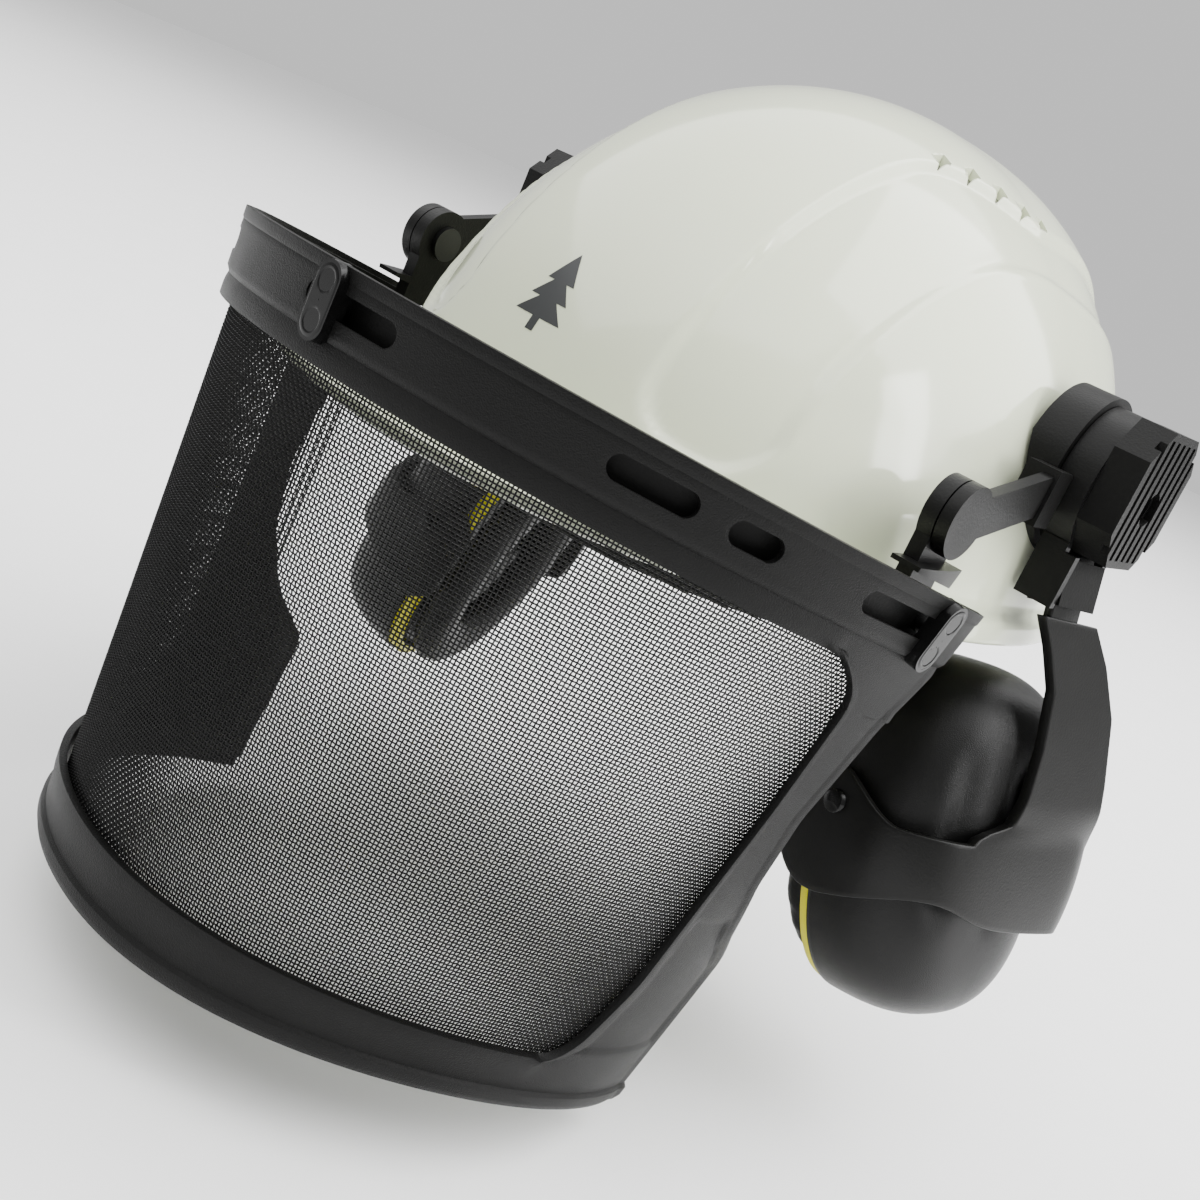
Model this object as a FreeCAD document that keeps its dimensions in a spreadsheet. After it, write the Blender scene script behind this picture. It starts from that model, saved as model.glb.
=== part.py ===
"""Forestry helmet: shell with peak, harness, lift-up mesh visor and two ear muffs on swivel mounts.

Frame: +Z up, the wearer looks along -Y, the wearer's left is +X, millimetres.
The origin is the centre of the head opening, a little above the shell's lower rim.
"""
import FreeCAD
import Part
import Sketcher
import math
import os
import re

# Driving dimensions: alias -> value in millimetres or degrees.
SIZES = {
    # shell: a front and a rear half ellipsoid that share their middle section, plus a peak
    "shell_half_width": 112, "shell_front": 160, "shell_rear": 122, "shell_rise": 140,
    "shell_middle_y": 58, "shell_middle_z": -13, "shell_wall": 3,
    "rim_z": -16, "rim_lip": 3, "rim_height": 7,
    "peak_radius": 110, "peak_y": -36, "peak_wall": 3, "peak_lip": 2.5, "peak_lip_height": 6,
    "vent_length": 6.5, "vent_width": 3.8, "vent_x": 37, "vent_shift": 4.5, "vent_first_y": 9,
    "vent_pitch": 12.5,
    # accessory slot in each side of the shell and the mount that clips into it
    "slot_length": 32, "slot_height": 6, "slot_play": 0.3, "mount_y": 52, "mount_z": 43,
    "flange_radius": 27, "flange_outer_x": 110, "tongue_inner_x": 97, "shoulder_radius": 9,
    "body_radius": 24.5, "body_outer_x": 121, "cap_flats": 45, "cap_outer_x": 133, "cap_rise": 2,
    "cap_rib": 2.6, "cap_rib_depth": 2.5, "running_gap": 0.3, "screw_radius": 3, "screw_head": 5.2,
    "spring_wire": 1.1, "spring_radius": 6.6, "cheek_reach": 16.5, "throat_half": 12.8, "cheek_drop": 14.5,
    # visor pivot: the arm's disc outside, the link's disc inside, a pin through both
    "pivot_y": -29.3, "pivot_z": 23.3, "disc_radius": 11.2, "link_inner_x": 104.8, "link_wall": 4.9,
    "washer_wall": 0.5, "arm_wall": 4, "pin_radius": 3, "pin_play": 0.05, "pin_head": 6, "arm_height": 13,
    "arm_root_y": 15, "arm_root_z": 35, "socket_length": 11,
    # visor: a cone that narrows downwards, its axis leaning forward at the bottom
    "visor_y": -36.6, "visor_z": 6.2, "visor_tilt": 9.12, "visor_radius": 124.9, "visor_taper": 0.127,
    "visor_wall": 2.4, "visor_bottom": 187, "visor_half_angle": 109, "band_bottom": 18.6, "band_step": 1.1,
    "band_top": 2, "window_top": 25, "window_bottom": 168, "rim_ring": 2.4, "rim_ring_height": 5,
    "carrier_wall": 3, "carrier_top": 3.5, "carrier_bottom": 17, "carrier_half_angle": 97, "mesh_wall": 0.6,
    "button_level": 11.6, "button_slot": 7, "button_shaft": 2.5, "button_long": 21, "button_wide": 9.5,
    "button_depth": 5, "button_foot": 5, "side_button_angle": 86, "front_button_angle": -3,
    # harness inside the shell
    "head_y": 42, "band_half_width": 82, "band_half_length": 103, "band_wall": 2, "band_low": -33,
    "band_high": -9, "cradle_z": -20, "cradle_rise": 98, "strap_wall": 1.4, "strap_width": 20,
    "sweat_wall": 3.5, "strap_spread": 38, "anchor_width": 22, "anchor_wall": 4, "rear_anchor_x": 33,
    "ratchet_y": 148, "ratchet_z": -21, "knob_radius": 15, "knob_depth": 11, "pinion_radius": 7.2,
    # ear muff, in its own frame: origin at the middle of the cup's mouth, x outwards, z up
    "muff_x": 108, "muff_y": 66, "muff_z": -90, "muff_toe": 15, "muff_splay": 15,
    "cup_half_length": 43, "cup_half_height": 59, "cup_depth": 37, "cup_round": 45, "cup_wall": 2.5,
    "ring_proud": 1.2, "ring_wall": 4, "plate_wall": 2.5, "ear_half_length": 20, "ear_half_height": 31,
    "cushion_wall": 15, "foam_start": 1, "foam_wall": 9, "yoke_gap": 4.5, "yoke_wall": 4.2, "yoke_low": -24,
    "yoke_high": 15, "yoke_pivot_x": 8, "yoke_pivot_z": 8, "yoke_pin": 2.6, "leg_top": 80,
    "neck_width": 17, "neck_y": -11, "neck_top": 103, "hinge_pin_radius": 1.8,
    "hinge_local_x": 39.4, "hinge_local_z": 94,
    "hinge_half": 11, "block_low": 86, "block_high": 101,
}

doc = FreeCAD.newDocument("forestry_helmet")
sheet = doc.addObject("Spreadsheet::Sheet", "Sizes")
for row, (alias, number) in enumerate(SIZES.items(), start=1):
    sheet.set(f"A{row}", alias)
    sheet.set(f"B{row}", str(number))
    sheet.setAlias(f"B{row}", alias)
doc.recompute()

NODES = []
SPARE_CELL = "D1"
X_AXIS = FreeCAD.Rotation(FreeCAD.Vector(0, 1, 0), 90)
Y_AXIS = FreeCAD.Rotation(FreeCAD.Vector(1, 0, 0), -90)
Z_AXIS = FreeCAD.Rotation()
LEFT, RIGHT = 1, -1
SIDES = {"left": LEFT, "right": RIGHT}


def bound(text):
    """An expression in which every alias is read from the sheet."""
    return re.sub(r"[a-z][a-z_]+", lambda word: "Sizes." * (word.group() in SIZES) + word.group(), str(text))


def number(text):
    """The value of an expression now, worked out in a spare cell, for placements and sketch starts."""
    filled = re.sub(r"[a-z][a-z_]+", lambda word: str(SIZES.get(word.group(), word.group())), str(text))
    sheet.set(SPARE_CELL, "=" + filled)
    sheet.recompute()
    value = float(sheet.get(SPARE_CELL))
    sheet.clear(SPARE_CELL)
    return value


def node(item, label):
    """Marks an object as a sub-part that is written to its own file."""
    item.Label = label
    NODES.append(item)
    return item


def place(item, x=0, y=0, z=0, rotation=Z_AXIS):
    item.Placement = FreeCAD.Placement(FreeCAD.Vector(0, 0, 0), rotation)
    for axis, text in (("x", x), ("y", y), ("z", z)):
        item.setExpression(f"Placement.Base.{axis}", bound(text))
    return item


def box(name, middle, size):
    """A block given by its middle and its lengths along x, y and z."""
    item = doc.addObject("Part::Box", name)
    for key, length in zip(("Length", "Width", "Height"), size):
        item.setExpression(key, bound(length))
    corner = [f"({centre}) - ({length}) / 2" for centre, length in zip(middle, size)]
    return place(item, *corner)


def span(name, low, high):
    """A block given by its lowest and highest corners."""
    middle = [f"(({a}) + ({b})) / 2" for a, b in zip(low, high)]
    return box(name, middle, [f"({b}) - ({a})" for a, b in zip(low, high)])


def rod(name, start, radius, length, rotation=X_AXIS, side=LEFT):
    """A cylinder from start along +x (away from the head on either side), +y or +z."""
    item = doc.addObject("Part::Cylinder", name)
    item.setExpression("Radius", bound(radius))
    item.setExpression("Height", bound(length))
    x = f"{side} * ({start[0]})"
    if rotation is X_AXIS and side == RIGHT:
        x += f" - ({length})"
    return place(item, x, start[1], start[2], rotation)


def ellipsoid(name, middle, radii, sweep=360, turn=0):
    """An ellipsoid, or a sector of one that starts at +x, turned about z."""
    item = doc.addObject("Part::Ellipsoid", name)
    for key, radius in zip(("Radius2", "Radius3", "Radius1"), radii):
        item.setExpression(key, bound(radius))
    item.Angle3 = sweep
    return place(item, *middle, FreeCAD.Rotation(FreeCAD.Vector(0, 0, 1), turn))


def cut(name, base, tool):
    item = doc.addObject("Part::Cut", name)
    item.Base, item.Tool = base, tool
    return item


def common(name, base, tool):
    item = doc.addObject("Part::Common", name)
    item.Base, item.Tool = base, tool
    return item


def fuse(name, *shapes):
    item = doc.addObject("Part::MultiFuse", name)
    item.Shapes = list(shapes)
    item.Refine = True
    return item


def cone(name, offset, top, bottom, half_angle):
    """A solid wedge of the visor's cone between two levels, centred on the front."""
    item = doc.addObject("Part::Cone", name)
    item.setExpression("Radius2", bound(f"visor_radius + ({offset}) - visor_taper * ({top})"))
    item.setExpression("Radius1", bound(f"visor_radius + ({offset}) - visor_taper * ({bottom})"))
    item.setExpression("Height", bound(f"({bottom}) - ({top})"))
    item.setExpression("Angle", bound(f"2 * ({half_angle})"))
    turn = FreeCAD.Rotation(FreeCAD.Vector(0, 0, 1), -90 - number(half_angle))
    return place(item, 0, 0, f"-({bottom})", turn)


def cone_shell(name, offset, wall, top, bottom, half_angle="visor_half_angle"):
    outer = cone(name + "_outer", offset, top, bottom, half_angle)
    inner = cone(name + "_inner", f"({offset}) - ({wall})", top, bottom, 180)
    return cut(name, outer, inner)


def wedge(name, top, bottom, start, stop):
    """A cutter through the visor band between two angles, measured from the front to the left."""
    parts = []
    for key, radius in (("big", "visor_radius + 20"), ("small", "visor_radius - 25")):
        item = doc.addObject("Part::Cylinder", f"{name}_{key}")
        item.setExpression("Radius", bound(radius))
        item.setExpression("Height", bound(f"({bottom}) - ({top})"))
        item.Angle = stop - start
        place(item, 0, 0, f"-({bottom})", FreeCAD.Rotation(FreeCAD.Vector(0, 0, 1), -90 + start))
        parts.append(item)
    return cut(name, *parts)


def side_prism(name, points, low_x, high_x):
    """A sketched outline in the y-z plane, padded along x."""
    body = doc.addObject("PartDesign::Body", name)
    sketch = body.newObject("Sketcher::SketchObject", name + "_sketch")
    plane = [item for item in body.Origin.OriginFeatures if item.Role == "YZ_Plane"][0]
    sketch.AttachmentSupport = [(plane, "")]
    sketch.MapMode = "FlatFace"
    sketch.AttachmentOffset = FreeCAD.Placement(FreeCAD.Vector(0, 0, number(low_x)), FreeCAD.Rotation())
    corners = [FreeCAD.Vector(number(y), number(z), 0) for y, z in points]
    for start, end in zip(corners, corners[1:] + corners[:1]):
        sketch.addGeometry(Part.LineSegment(start, end), False)
    for index, (y, z) in enumerate(points):
        after = (index + 1) % len(points)
        sketch.addConstraint(Sketcher.Constraint("Coincident", index, 2, after, 1))
        for kind, text in (("DistanceX", y), ("DistanceY", z)):
            place_at = sketch.addConstraint(Sketcher.Constraint(kind, -1, 1, index, 1, number(text)))
            if re.search("[a-z]", str(text)):
                sketch.setExpression(f"Constraints[{place_at}]", bound(text))
    pad = body.newObject("PartDesign::Pad", name + "_pad")
    pad.Profile = sketch
    pad.setExpression("Length", bound(f"({high_x}) - ({low_x})"))
    return body


def oval(name, half_length, half_height, start, stop, side):
    """A plate of elliptical outline across the muff's x axis, between two distances from its origin."""
    ellipse = doc.addObject("Part::Ellipse", name + "_outline")
    ellipse.setExpression("MajorRadius", bound(half_height))
    ellipse.setExpression("MinorRadius", bound(half_length))
    low, high = outward(start, stop, side)
    place(ellipse, low, 0, 0, X_AXIS)
    plate = doc.addObject("Part::Extrusion", name)
    plate.Base = ellipse
    plate.DirMode = "Custom"
    plate.Dir = FreeCAD.Vector(1, 0, 0)
    plate.setExpression("LengthFwd", bound(f"({high}) - ({low})"))
    plate.Solid = True
    return plate


def oval_ring(name, outer, inner, start, stop, side):
    outside = oval(name + "_outer", *outer, start, stop, side)
    return cut(name, outside, oval(name + "_inner", *inner, start, stop, side))


def outward(low, high, side):
    """A pair of x limits on either side, in rising order."""
    return (low, high) if side == LEFT else (f"-({high})", f"-({low})")


def side_span(name, low, high, side):
    near, far = outward(low[0], high[0], side)
    return span(name, (near, low[1], low[2]), (far, high[1], high[2]))


# ---------------------------------------------------------------- shell and harness (stay with the head)
def dome(name, inset):
    """The closed dome, inset by a wall: a front and a rear half ellipsoid."""
    middle = (0, "shell_middle_y", "shell_middle_z")
    halves = []
    for part, length, turn in (("front", "shell_front", 180), ("rear", "shell_rear", 0)):
        radii = [f"{radius} + ({inset})" for radius in ("shell_half_width", length, "shell_rise")]
        halves.append(ellipsoid(f"{name}_{part}", middle, radii, 180, turn))
    return fuse(name, *halves)


def make_shell():
    outside = dome("dome_outside", 0)
    inside = dome("dome_inside", "-shell_wall")
    above_rim = span("above_rim", (-150, -200, "rim_z"), (150, 260, 200))
    crown = common("crown", outside, above_rim)
    rim_zone = span("rim_zone", (-150, -200, "rim_z"), (150, 260, "rim_z + rim_height"))
    rim = common("rim", dome("dome_rim", "rim_lip"), rim_zone)
    peak = rod("peak", (0, "peak_y", "rim_z"), "peak_radius", "peak_wall", Z_AXIS)
    lip_outer = rod("peak_lip_outer", (0, "peak_y", "rim_z"), "peak_radius", "peak_lip_height", Z_AXIS)
    lip_inner = rod("peak_lip_inner", (0, "peak_y", "rim_z"), "peak_radius - peak_lip", "peak_lip_height",
                    Z_AXIS)
    lip = cut("peak_lip", lip_outer, lip_inner)
    solid = fuse("shell_solid", crown, rim, peak, lip)
    openings = [inside]
    for name, side in SIDES.items():
        start = ("tongue_inner_x - 8", "mount_y - slot_length / 2", "mount_z - slot_height / 2")
        stop = ("flange_outer_x", "mount_y + slot_length / 2", "mount_z + slot_height / 2")
        openings.append(side_span(f"accessory_slot_{name}", start, stop, side))
        for index in range(5):
            spot = (f"{side} * (vent_x + {index} * vent_shift)", f"vent_first_y + {index} * vent_pitch",
                    "shell_rise - 25")
            openings.append(box(f"vent_{name}_{index}", spot, ("vent_width", "vent_length", 40)))
    shell = cut("shell_cut", solid, fuse("shell_openings", *openings))
    node(shell, "shell")
    return outside


def make_headband():
    middle = (0, "head_y", "(band_low + band_high) / 2")
    outer = ellipsoid("headband_outer", middle, ("band_half_width", "band_half_length", 300))
    inner = ellipsoid("headband_inner", middle,
                      ("band_half_width - band_wall", "band_half_length - band_wall", 290))
    zone = span("headband_zone", (-120, -120, "band_low"), (120, 200, "band_high"))
    node(common("headband_band", cut("headband_tube", outer, inner), zone), "headband")
    pad_out = ellipsoid("sweatband_outer", middle,
                        ("band_half_width - band_wall", "band_half_length - band_wall", 290))
    pad_in = ellipsoid("sweatband_inner", middle, ("band_half_width - band_wall - sweat_wall",
                                                   "band_half_length - band_wall - sweat_wall", 280))
    front = span("sweatband_zone", (-120, -120, "band_low"), (120, "head_y - 45", "band_high"))
    node(common("sweatband_pad", cut("sweatband_tube", pad_out, pad_in), front), "sweatband")


def strap_skin(name, lift):
    """The thin ellipsoid that the crown straps lie on."""
    middle = (0, "head_y", "cradle_z")
    outer = ellipsoid(f"{name}_outer", middle, (f"band_half_width + 6 + {lift}",
                                                f"band_half_length + 6 + {lift}",
                                                f"cradle_rise + {lift}"))
    inner = ellipsoid(f"{name}_inner", middle, (f"band_half_width + 6 + {lift} - strap_wall",
                                                f"band_half_length + 6 + {lift} - strap_wall",
                                                f"cradle_rise + {lift} - strap_wall"))
    return cut(f"{name}_skin", outer, inner)


def make_cradle():
    """Crown straps: two that run across and one on top of them from front to back."""
    for name, middle in (("front", "head_y - strap_spread"), ("rear", "head_y + strap_spread")):
        zone = span(f"strap_zone_{name}", (-120, f"{middle} - strap_width / 2", "band_high + anchor_wall"),
                    (120, f"{middle} + strap_width / 2", 120))
        node(common(f"strap_solid_{name}", strap_skin(f"strap_{name}", 0), zone), f"crown_strap_{name}")
    zone = span("strap_zone_long", ("-strap_width / 2", -120, "band_high + anchor_wall"),
                ("strap_width / 2", 200, 120))
    node(common("strap_solid_long", strap_skin("strap_long", "strap_wall + 0.1"), zone), "crown_strap_long")


def make_anchors(inside):
    """Seven clips that hold the straps' ends and the headband to the shell's inner wall."""
    clips = []
    spots = [(x, y) for x in (-1, 1) for y in ("head_y - strap_spread", "head_y + strap_spread")]
    for index, (x, y) in enumerate(spots):
        near, far = outward("band_half_width - 14", "shell_half_width - 2", x)
        clips.append(span(f"anchor_side_{index}", (near, f"({y}) - anchor_width / 2", "band_high"),
                          (far, f"({y}) + anchor_width / 2", "band_high + anchor_wall")))
    front = ("head_y - band_half_length - 46", "head_y - band_half_length + 2")
    rear = ("head_y + band_half_length - 10", "head_y + band_half_length + 40")
    for key, middle_x, (start, stop) in (("front", "0", front), ("rear_left", "rear_anchor_x", rear),
                                         ("rear_right", "-rear_anchor_x", rear)):
        clips.append(span(f"anchor_{key}", (f"{middle_x} - anchor_width / 2", start, "band_high"),
                          (f"{middle_x} + anchor_width / 2", stop, "band_high + anchor_wall")))
    node(common("anchor_trim", fuse("anchor_blocks", *clips), inside), "harness_anchors")


def make_ratchet():
    """Size ratchet at the nape: housing on the headband's rear, knob outside, pinion inside."""
    start = "ratchet_y"
    block = span("ratchet_block", (-32, "ratchet_y - 2.7", "ratchet_z - 11"),
                 (32, "ratchet_y + 7", "ratchet_z + 11"))
    pocket = rod("ratchet_pocket", (0, f"{start} + 1", "ratchet_z"), 8.3, 8, Y_AXIS)
    bearing = rod("ratchet_bearing", (0, f"{start} - 6", "ratchet_z"), "pin_radius + pin_play", 12, Y_AXIS)
    band_clear = ellipsoid("ratchet_band_clear", (0, "head_y", "(band_low + band_high) / 2"),
                           ("band_half_width", "band_half_length", 300))
    node(cut("ratchet_case", block, fuse("ratchet_room", pocket, bearing, band_clear)), "ratchet_housing")
    knob = rod("knob_disc", (0, f"{start} + 7.4", "ratchet_z"), "knob_radius", "knob_depth", Y_AXIS)
    hollow = rod("knob_hollow", (0, f"{start} + 7.4 + knob_depth - 3", "ratchet_z"), "knob_radius - 4", 4,
                 Y_AXIS)
    stem_bore = rod("knob_bore", (0, f"{start} + 6", "ratchet_z"), "pin_radius", 6, Y_AXIS)
    node(cut("knob_cut", knob, fuse("knob_room", hollow, stem_bore)), "ratchet_knob")
    wheel = rod("pinion_wheel", (0, f"{start} + 1.4", "ratchet_z"), "pinion_radius", 5, Y_AXIS)
    stem = rod("pinion_stem", (0, f"{start} + 1.4", "ratchet_z"), "pin_radius", 10.6, Y_AXIS)
    teeth = [box(f"pinion_tooth_{index}", (f"pinion_radius * cos({angle})", f"{start} + 3.9",
                                           f"ratchet_z + pinion_radius * sin({angle})"), (1.4, 5, 1.4))
             for index, angle in enumerate(range(0, 360, 45))]
    node(fuse("pinion_solid", wheel, stem, *teeth), "ratchet_pinion")


# ---------------------------------------------------------------- mounts, visor arms and links
def make_mount_base(name, side, outside):
    flange = rod(f"flange_{name}", ("tongue_inner_x", "mount_y", "mount_z"), "flange_radius",
                 "flange_outer_x - tongue_inner_x", X_AXIS, side)
    saddle = cut(f"saddle_{name}", flange, outside)
    tongue = side_span(f"tongue_{name}", ("tongue_inner_x", "mount_y - slot_length / 2 + slot_play",
                                          "mount_z - slot_height / 2 + slot_play"),
                       ("flange_outer_x - 1", "mount_y + slot_length / 2 - slot_play",
                        "mount_z + slot_height / 2 - slot_play"), side)
    hub = rod(f"hub_{name}", ("flange_outer_x - 1", "mount_y", "mount_z"), "shoulder_radius", 8, X_AXIS, side)
    thread = rod(f"thread_{name}", ("flange_outer_x - 6", "mount_y", "mount_z"), "screw_radius", 20, X_AXIS,
                 side)
    socket = side_span(f"socket_{name}",
                       ("flange_outer_x - 5.5", "arm_root_y", "arm_root_z - arm_height / 2 - 2.5"),
                       ("flange_outer_x + 5.5", "arm_root_y + socket_length",
                        "arm_root_z + arm_height / 2 + 2.5"), side)
    body = fuse(f"mount_base_solid_{name}", saddle, tongue, hub, socket)
    node(cut(f"mount_base_cut_{name}", body, thread), f"mount_base_{name}")


def arm_plate(name, side):
    """The slanted bar from the pivot back to the mount's socket, in the arm disc's plane."""
    rise = number("arm_root_z - pivot_z")
    run = number("arm_root_y - pivot_y")
    lean = FreeCAD.Rotation(FreeCAD.Vector(1, 0, 0), math.degrees(math.atan2(rise, run)))
    bar = doc.addObject("Part::Box", name)
    bar.setExpression("Length", bound("arm_wall"))
    bar.setExpression("Width", bound("((arm_root_y - pivot_y)^2 + (arm_root_z - pivot_z)^2)^0.5 + 6"))
    bar.setExpression("Height", bound("arm_height"))
    half = number("arm_height") / 2
    drop = lean.multVec(FreeCAD.Vector(0, 0, -half))
    inner = "link_inner_x + link_wall + washer_wall"
    x = inner if side == LEFT else f"-({inner} + arm_wall)"
    place(bar, x, f"pivot_y + ({drop.y})", f"pivot_z + ({drop.z})", lean)
    return bar


def make_visor_arm(name, side):
    inner = "link_inner_x + link_wall + washer_wall"
    disc = rod(f"arm_disc_{name}", (inner, "pivot_y", "pivot_z"), "disc_radius", "arm_wall", X_AXIS, side)
    ahead = side_span(f"arm_zone_{name}", (90, -80, -20), (130, "arm_root_y", 80), side)
    arm = fuse(f"arm_solid_{name}", disc, arm_plate(f"arm_bar_{name}", side))
    solid = common(f"arm_trim_{name}", arm, ahead)
    hole = rod(f"arm_hole_{name}", (f"{inner} - 1", "pivot_y", "pivot_z"), "pin_radius", "arm_wall - 1",
               X_AXIS, side)
    node(cut(f"visor_arm_cut_{name}", solid, hole), f"visor_arm_{name}")
    shaft = rod(f"pin_shaft_{name}", ("link_inner_x - 1", "pivot_y", "pivot_z"), "pin_radius",
                "link_wall + washer_wall + arm_wall - 1", X_AXIS, side)
    head = rod(f"pin_head_{name}", ("link_inner_x - 2.2", "pivot_y", "pivot_z"), "pin_head", 1.9, X_AXIS,
               side)
    node(fuse(f"pivot_pin_solid_{name}", shaft, head), f"pivot_pin_{name}")
    ring = rod(f"washer_disc_{name}", ("link_inner_x + link_wall", "pivot_y", "pivot_z"), "disc_radius - 2",
               "washer_wall", X_AXIS, side)
    eye = rod(f"washer_eye_{name}", ("link_inner_x + link_wall - 1", "pivot_y", "pivot_z"), "pin_radius", 3,
              X_AXIS, side)
    node(cut(f"washer_cut_{name}", ring, eye), f"friction_washer_{name}")


def make_link(name, side):
    disc = rod(f"link_disc_{name}", ("link_inner_x", "pivot_y", "pivot_z"), "disc_radius", "link_wall",
               X_AXIS, side)
    neck = side_span(f"link_neck_{name}", ("link_inner_x", "pivot_y - 9", 0),
                     ("link_inner_x + link_wall", "pivot_y + 9", "pivot_z - 4"), side)
    foot = side_span(f"link_foot_{name}", ("link_inner_x", "pivot_y - 16", -4), (130, "pivot_y + 15", 9),
                     side)
    inside_band = cone(f"link_limit_{name}", "-visor_wall - carrier_wall", -30, 40, 180)
    place_in_visor(inside_band)
    foot = common(f"link_foot_trim_{name}", foot, inside_band)
    bore = rod(f"link_bore_{name}", ("link_inner_x - 1", "pivot_y", "pivot_z"), "pin_radius + pin_play", 8,
               X_AXIS, side)
    solid = fuse(f"visor_link_solid_{name}", disc, neck, foot)
    node(cut(f"visor_link_cut_{name}", solid, bore), f"visor_link_{name}")


# ---------------------------------------------------------------- visor, built about its own axis
def place_in_visor(item):
    """Leans an object about the visor's origin; its own z placement, if any, leans with it."""
    lean = FreeCAD.Rotation(FreeCAD.Vector(1, 0, 0), -number("visor_tilt"))
    shift = lean.multVec(item.Placement.Base)
    origin = FreeCAD.Vector(0, number("visor_y"), number("visor_z"))
    for axis in "xyz":
        item.setExpression(f"Placement.Base.{axis}", None)
    item.Placement = FreeCAD.Placement(origin + shift, lean.multiply(item.Placement.Rotation))
    return item


def make_visor():
    outline = side_prism("frame_outline", [(-140, "-band_top"), (16, "-band_top"), (15, -20), (4, -42),
                                           (-1, -75), (4, -99), (16, -120), (33, -136), (33, -140),
                                           (28, "-visor_bottom"), (-140, "-visor_bottom")], -150, 150)
    window = side_prism("frame_window", [(-140, "-window_top"), (-36, "-window_top"), (-24, -28), (-19, -38),
                                         (-18, -75), (-18, -138), (-26, "-window_bottom"),
                                         (-140, "-window_bottom")], -150, 150)
    full_cone = cone_shell("frame_cone", 0, "visor_wall", "band_top", "visor_bottom")
    wall = common("frame_wall", full_cone, outline)
    band = cone_shell("frame_band", "band_step", "band_step + visor_wall", "band_top", "band_bottom", 97)
    ring = cone_shell("frame_ring", "rim_ring", "rim_ring + visor_wall", "visor_bottom - rim_ring_height",
                      "visor_bottom", 104)
    tools = [window]
    low, high = "button_level + button_slot / 2", "button_level - button_slot / 2"
    for key, start, stop in (("front", -7, 8), ("left", 70, 91), ("right", -91, -70), ("long_left", 35, 46),
                             ("long_right", -46, -35), ("short_left", 50, 57), ("short_right", -57, -50)):
        tools.append(wedge(f"band_slot_{key}", high, low, start, stop))
    frame = cut("visor_frame_cut", fuse("visor_frame_solid", wall, band, ring), fuse("frame_tools", *tools))
    node(place_in_visor(frame), "visor_frame")
    sheet_cone = cone_shell("mesh_cone", "mesh_wall / 2 - visor_wall / 2", "mesh_wall", 20, 175)
    node(place_in_visor(common("visor_mesh_common", sheet_cone, window)), "visor_mesh")
    ring = cone_shell("carrier_ring", "-visor_wall", "carrier_wall", "carrier_top", "carrier_bottom",
                      "carrier_half_angle")
    holes = [button_rod(f"carrier_hole_{key}", angle, "button_shaft + pin_play", -20, 20)
             for key, angle in button_angles().items()]
    node(place_in_visor(cut("carrier_cut", ring, fuse("carrier_holes", *holes))), "visor_carrier")


def button_angles():
    side = number("side_button_angle")
    return {"front": number("front_button_angle"), "left": side, "right": -side}


def on_band(angle, outwards, across, up):
    """A placement on the band at a button's level, with x along the wall's outward normal."""
    turn = FreeCAD.Rotation(FreeCAD.Vector(0, 0, 1), angle - 90)
    lean = FreeCAD.Rotation(FreeCAD.Vector(0, 1, 0), math.degrees(math.atan(number("visor_taper"))))
    level = number("button_level")
    spot = FreeCAD.Vector(number("visor_radius") - number("visor_taper") * level, 0, -level)
    frame = FreeCAD.Placement(turn.multVec(spot), turn.multiply(lean))
    offset = FreeCAD.Vector(number(outwards), number(across), number(up))
    return frame.multiply(FreeCAD.Placement(offset, FreeCAD.Rotation()))


def button_rod(name, angle, radius, start, stop, across=0, up=0):
    """A cylinder that points outwards through the band; start and stop are measured from the wall."""
    item = doc.addObject("Part::Cylinder", name)
    item.setExpression("Radius", bound(radius))
    item.setExpression("Height", bound(f"({stop}) - ({start})"))
    item.Placement = on_band(angle, start, across, up).multiply(FreeCAD.Placement(FreeCAD.Vector(), X_AXIS))
    return item


def button_block(name, angle, wide, tall, start, stop):
    item = doc.addObject("Part::Box", name)
    item.setExpression("Length", bound(f"({stop}) - ({start})"))
    item.setExpression("Width", bound(wide))
    item.setExpression("Height", bound(tall))
    item.Placement = on_band(angle, start, f"-({wide}) / 2", f"-({tall}) / 2")
    return item


def make_buttons():
    """Turn buttons: upright when locked; the right one lies along its slot, which lets the visor off."""
    face, top, inside = "band_step + 0.4", "band_step + 0.4 + button_depth", "-visor_wall - carrier_wall"
    for key, angle in button_angles().items():
        lying = key == "right"
        ends = []
        for index, shift in enumerate((1, -1)):
            offset = f"{shift} * (button_long - button_wide) / 2"
            spot = (offset, 0) if lying else (0, offset)
            ends.append(button_rod(f"button_end_{key}_{index}", angle, "button_wide / 2", face, top, *spot))
        straight = ("button_long - button_wide", "button_wide")
        wide, tall = straight if lying else reversed(straight)
        middle = button_block(f"button_middle_{key}", angle, wide, tall, face, top)
        shaft = button_rod(f"button_shaft_{key}", angle, "button_shaft", f"{inside} - 2.4", face)
        foot = button_rod(f"button_foot_{key}", angle, "button_foot", f"{inside} - 2.6", f"{inside} - 0.6")
        button = fuse(f"turn_button_solid_{key}", middle, shaft, foot, *ends)
        node(place_in_visor(button), f"turn_button_{key}")


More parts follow.
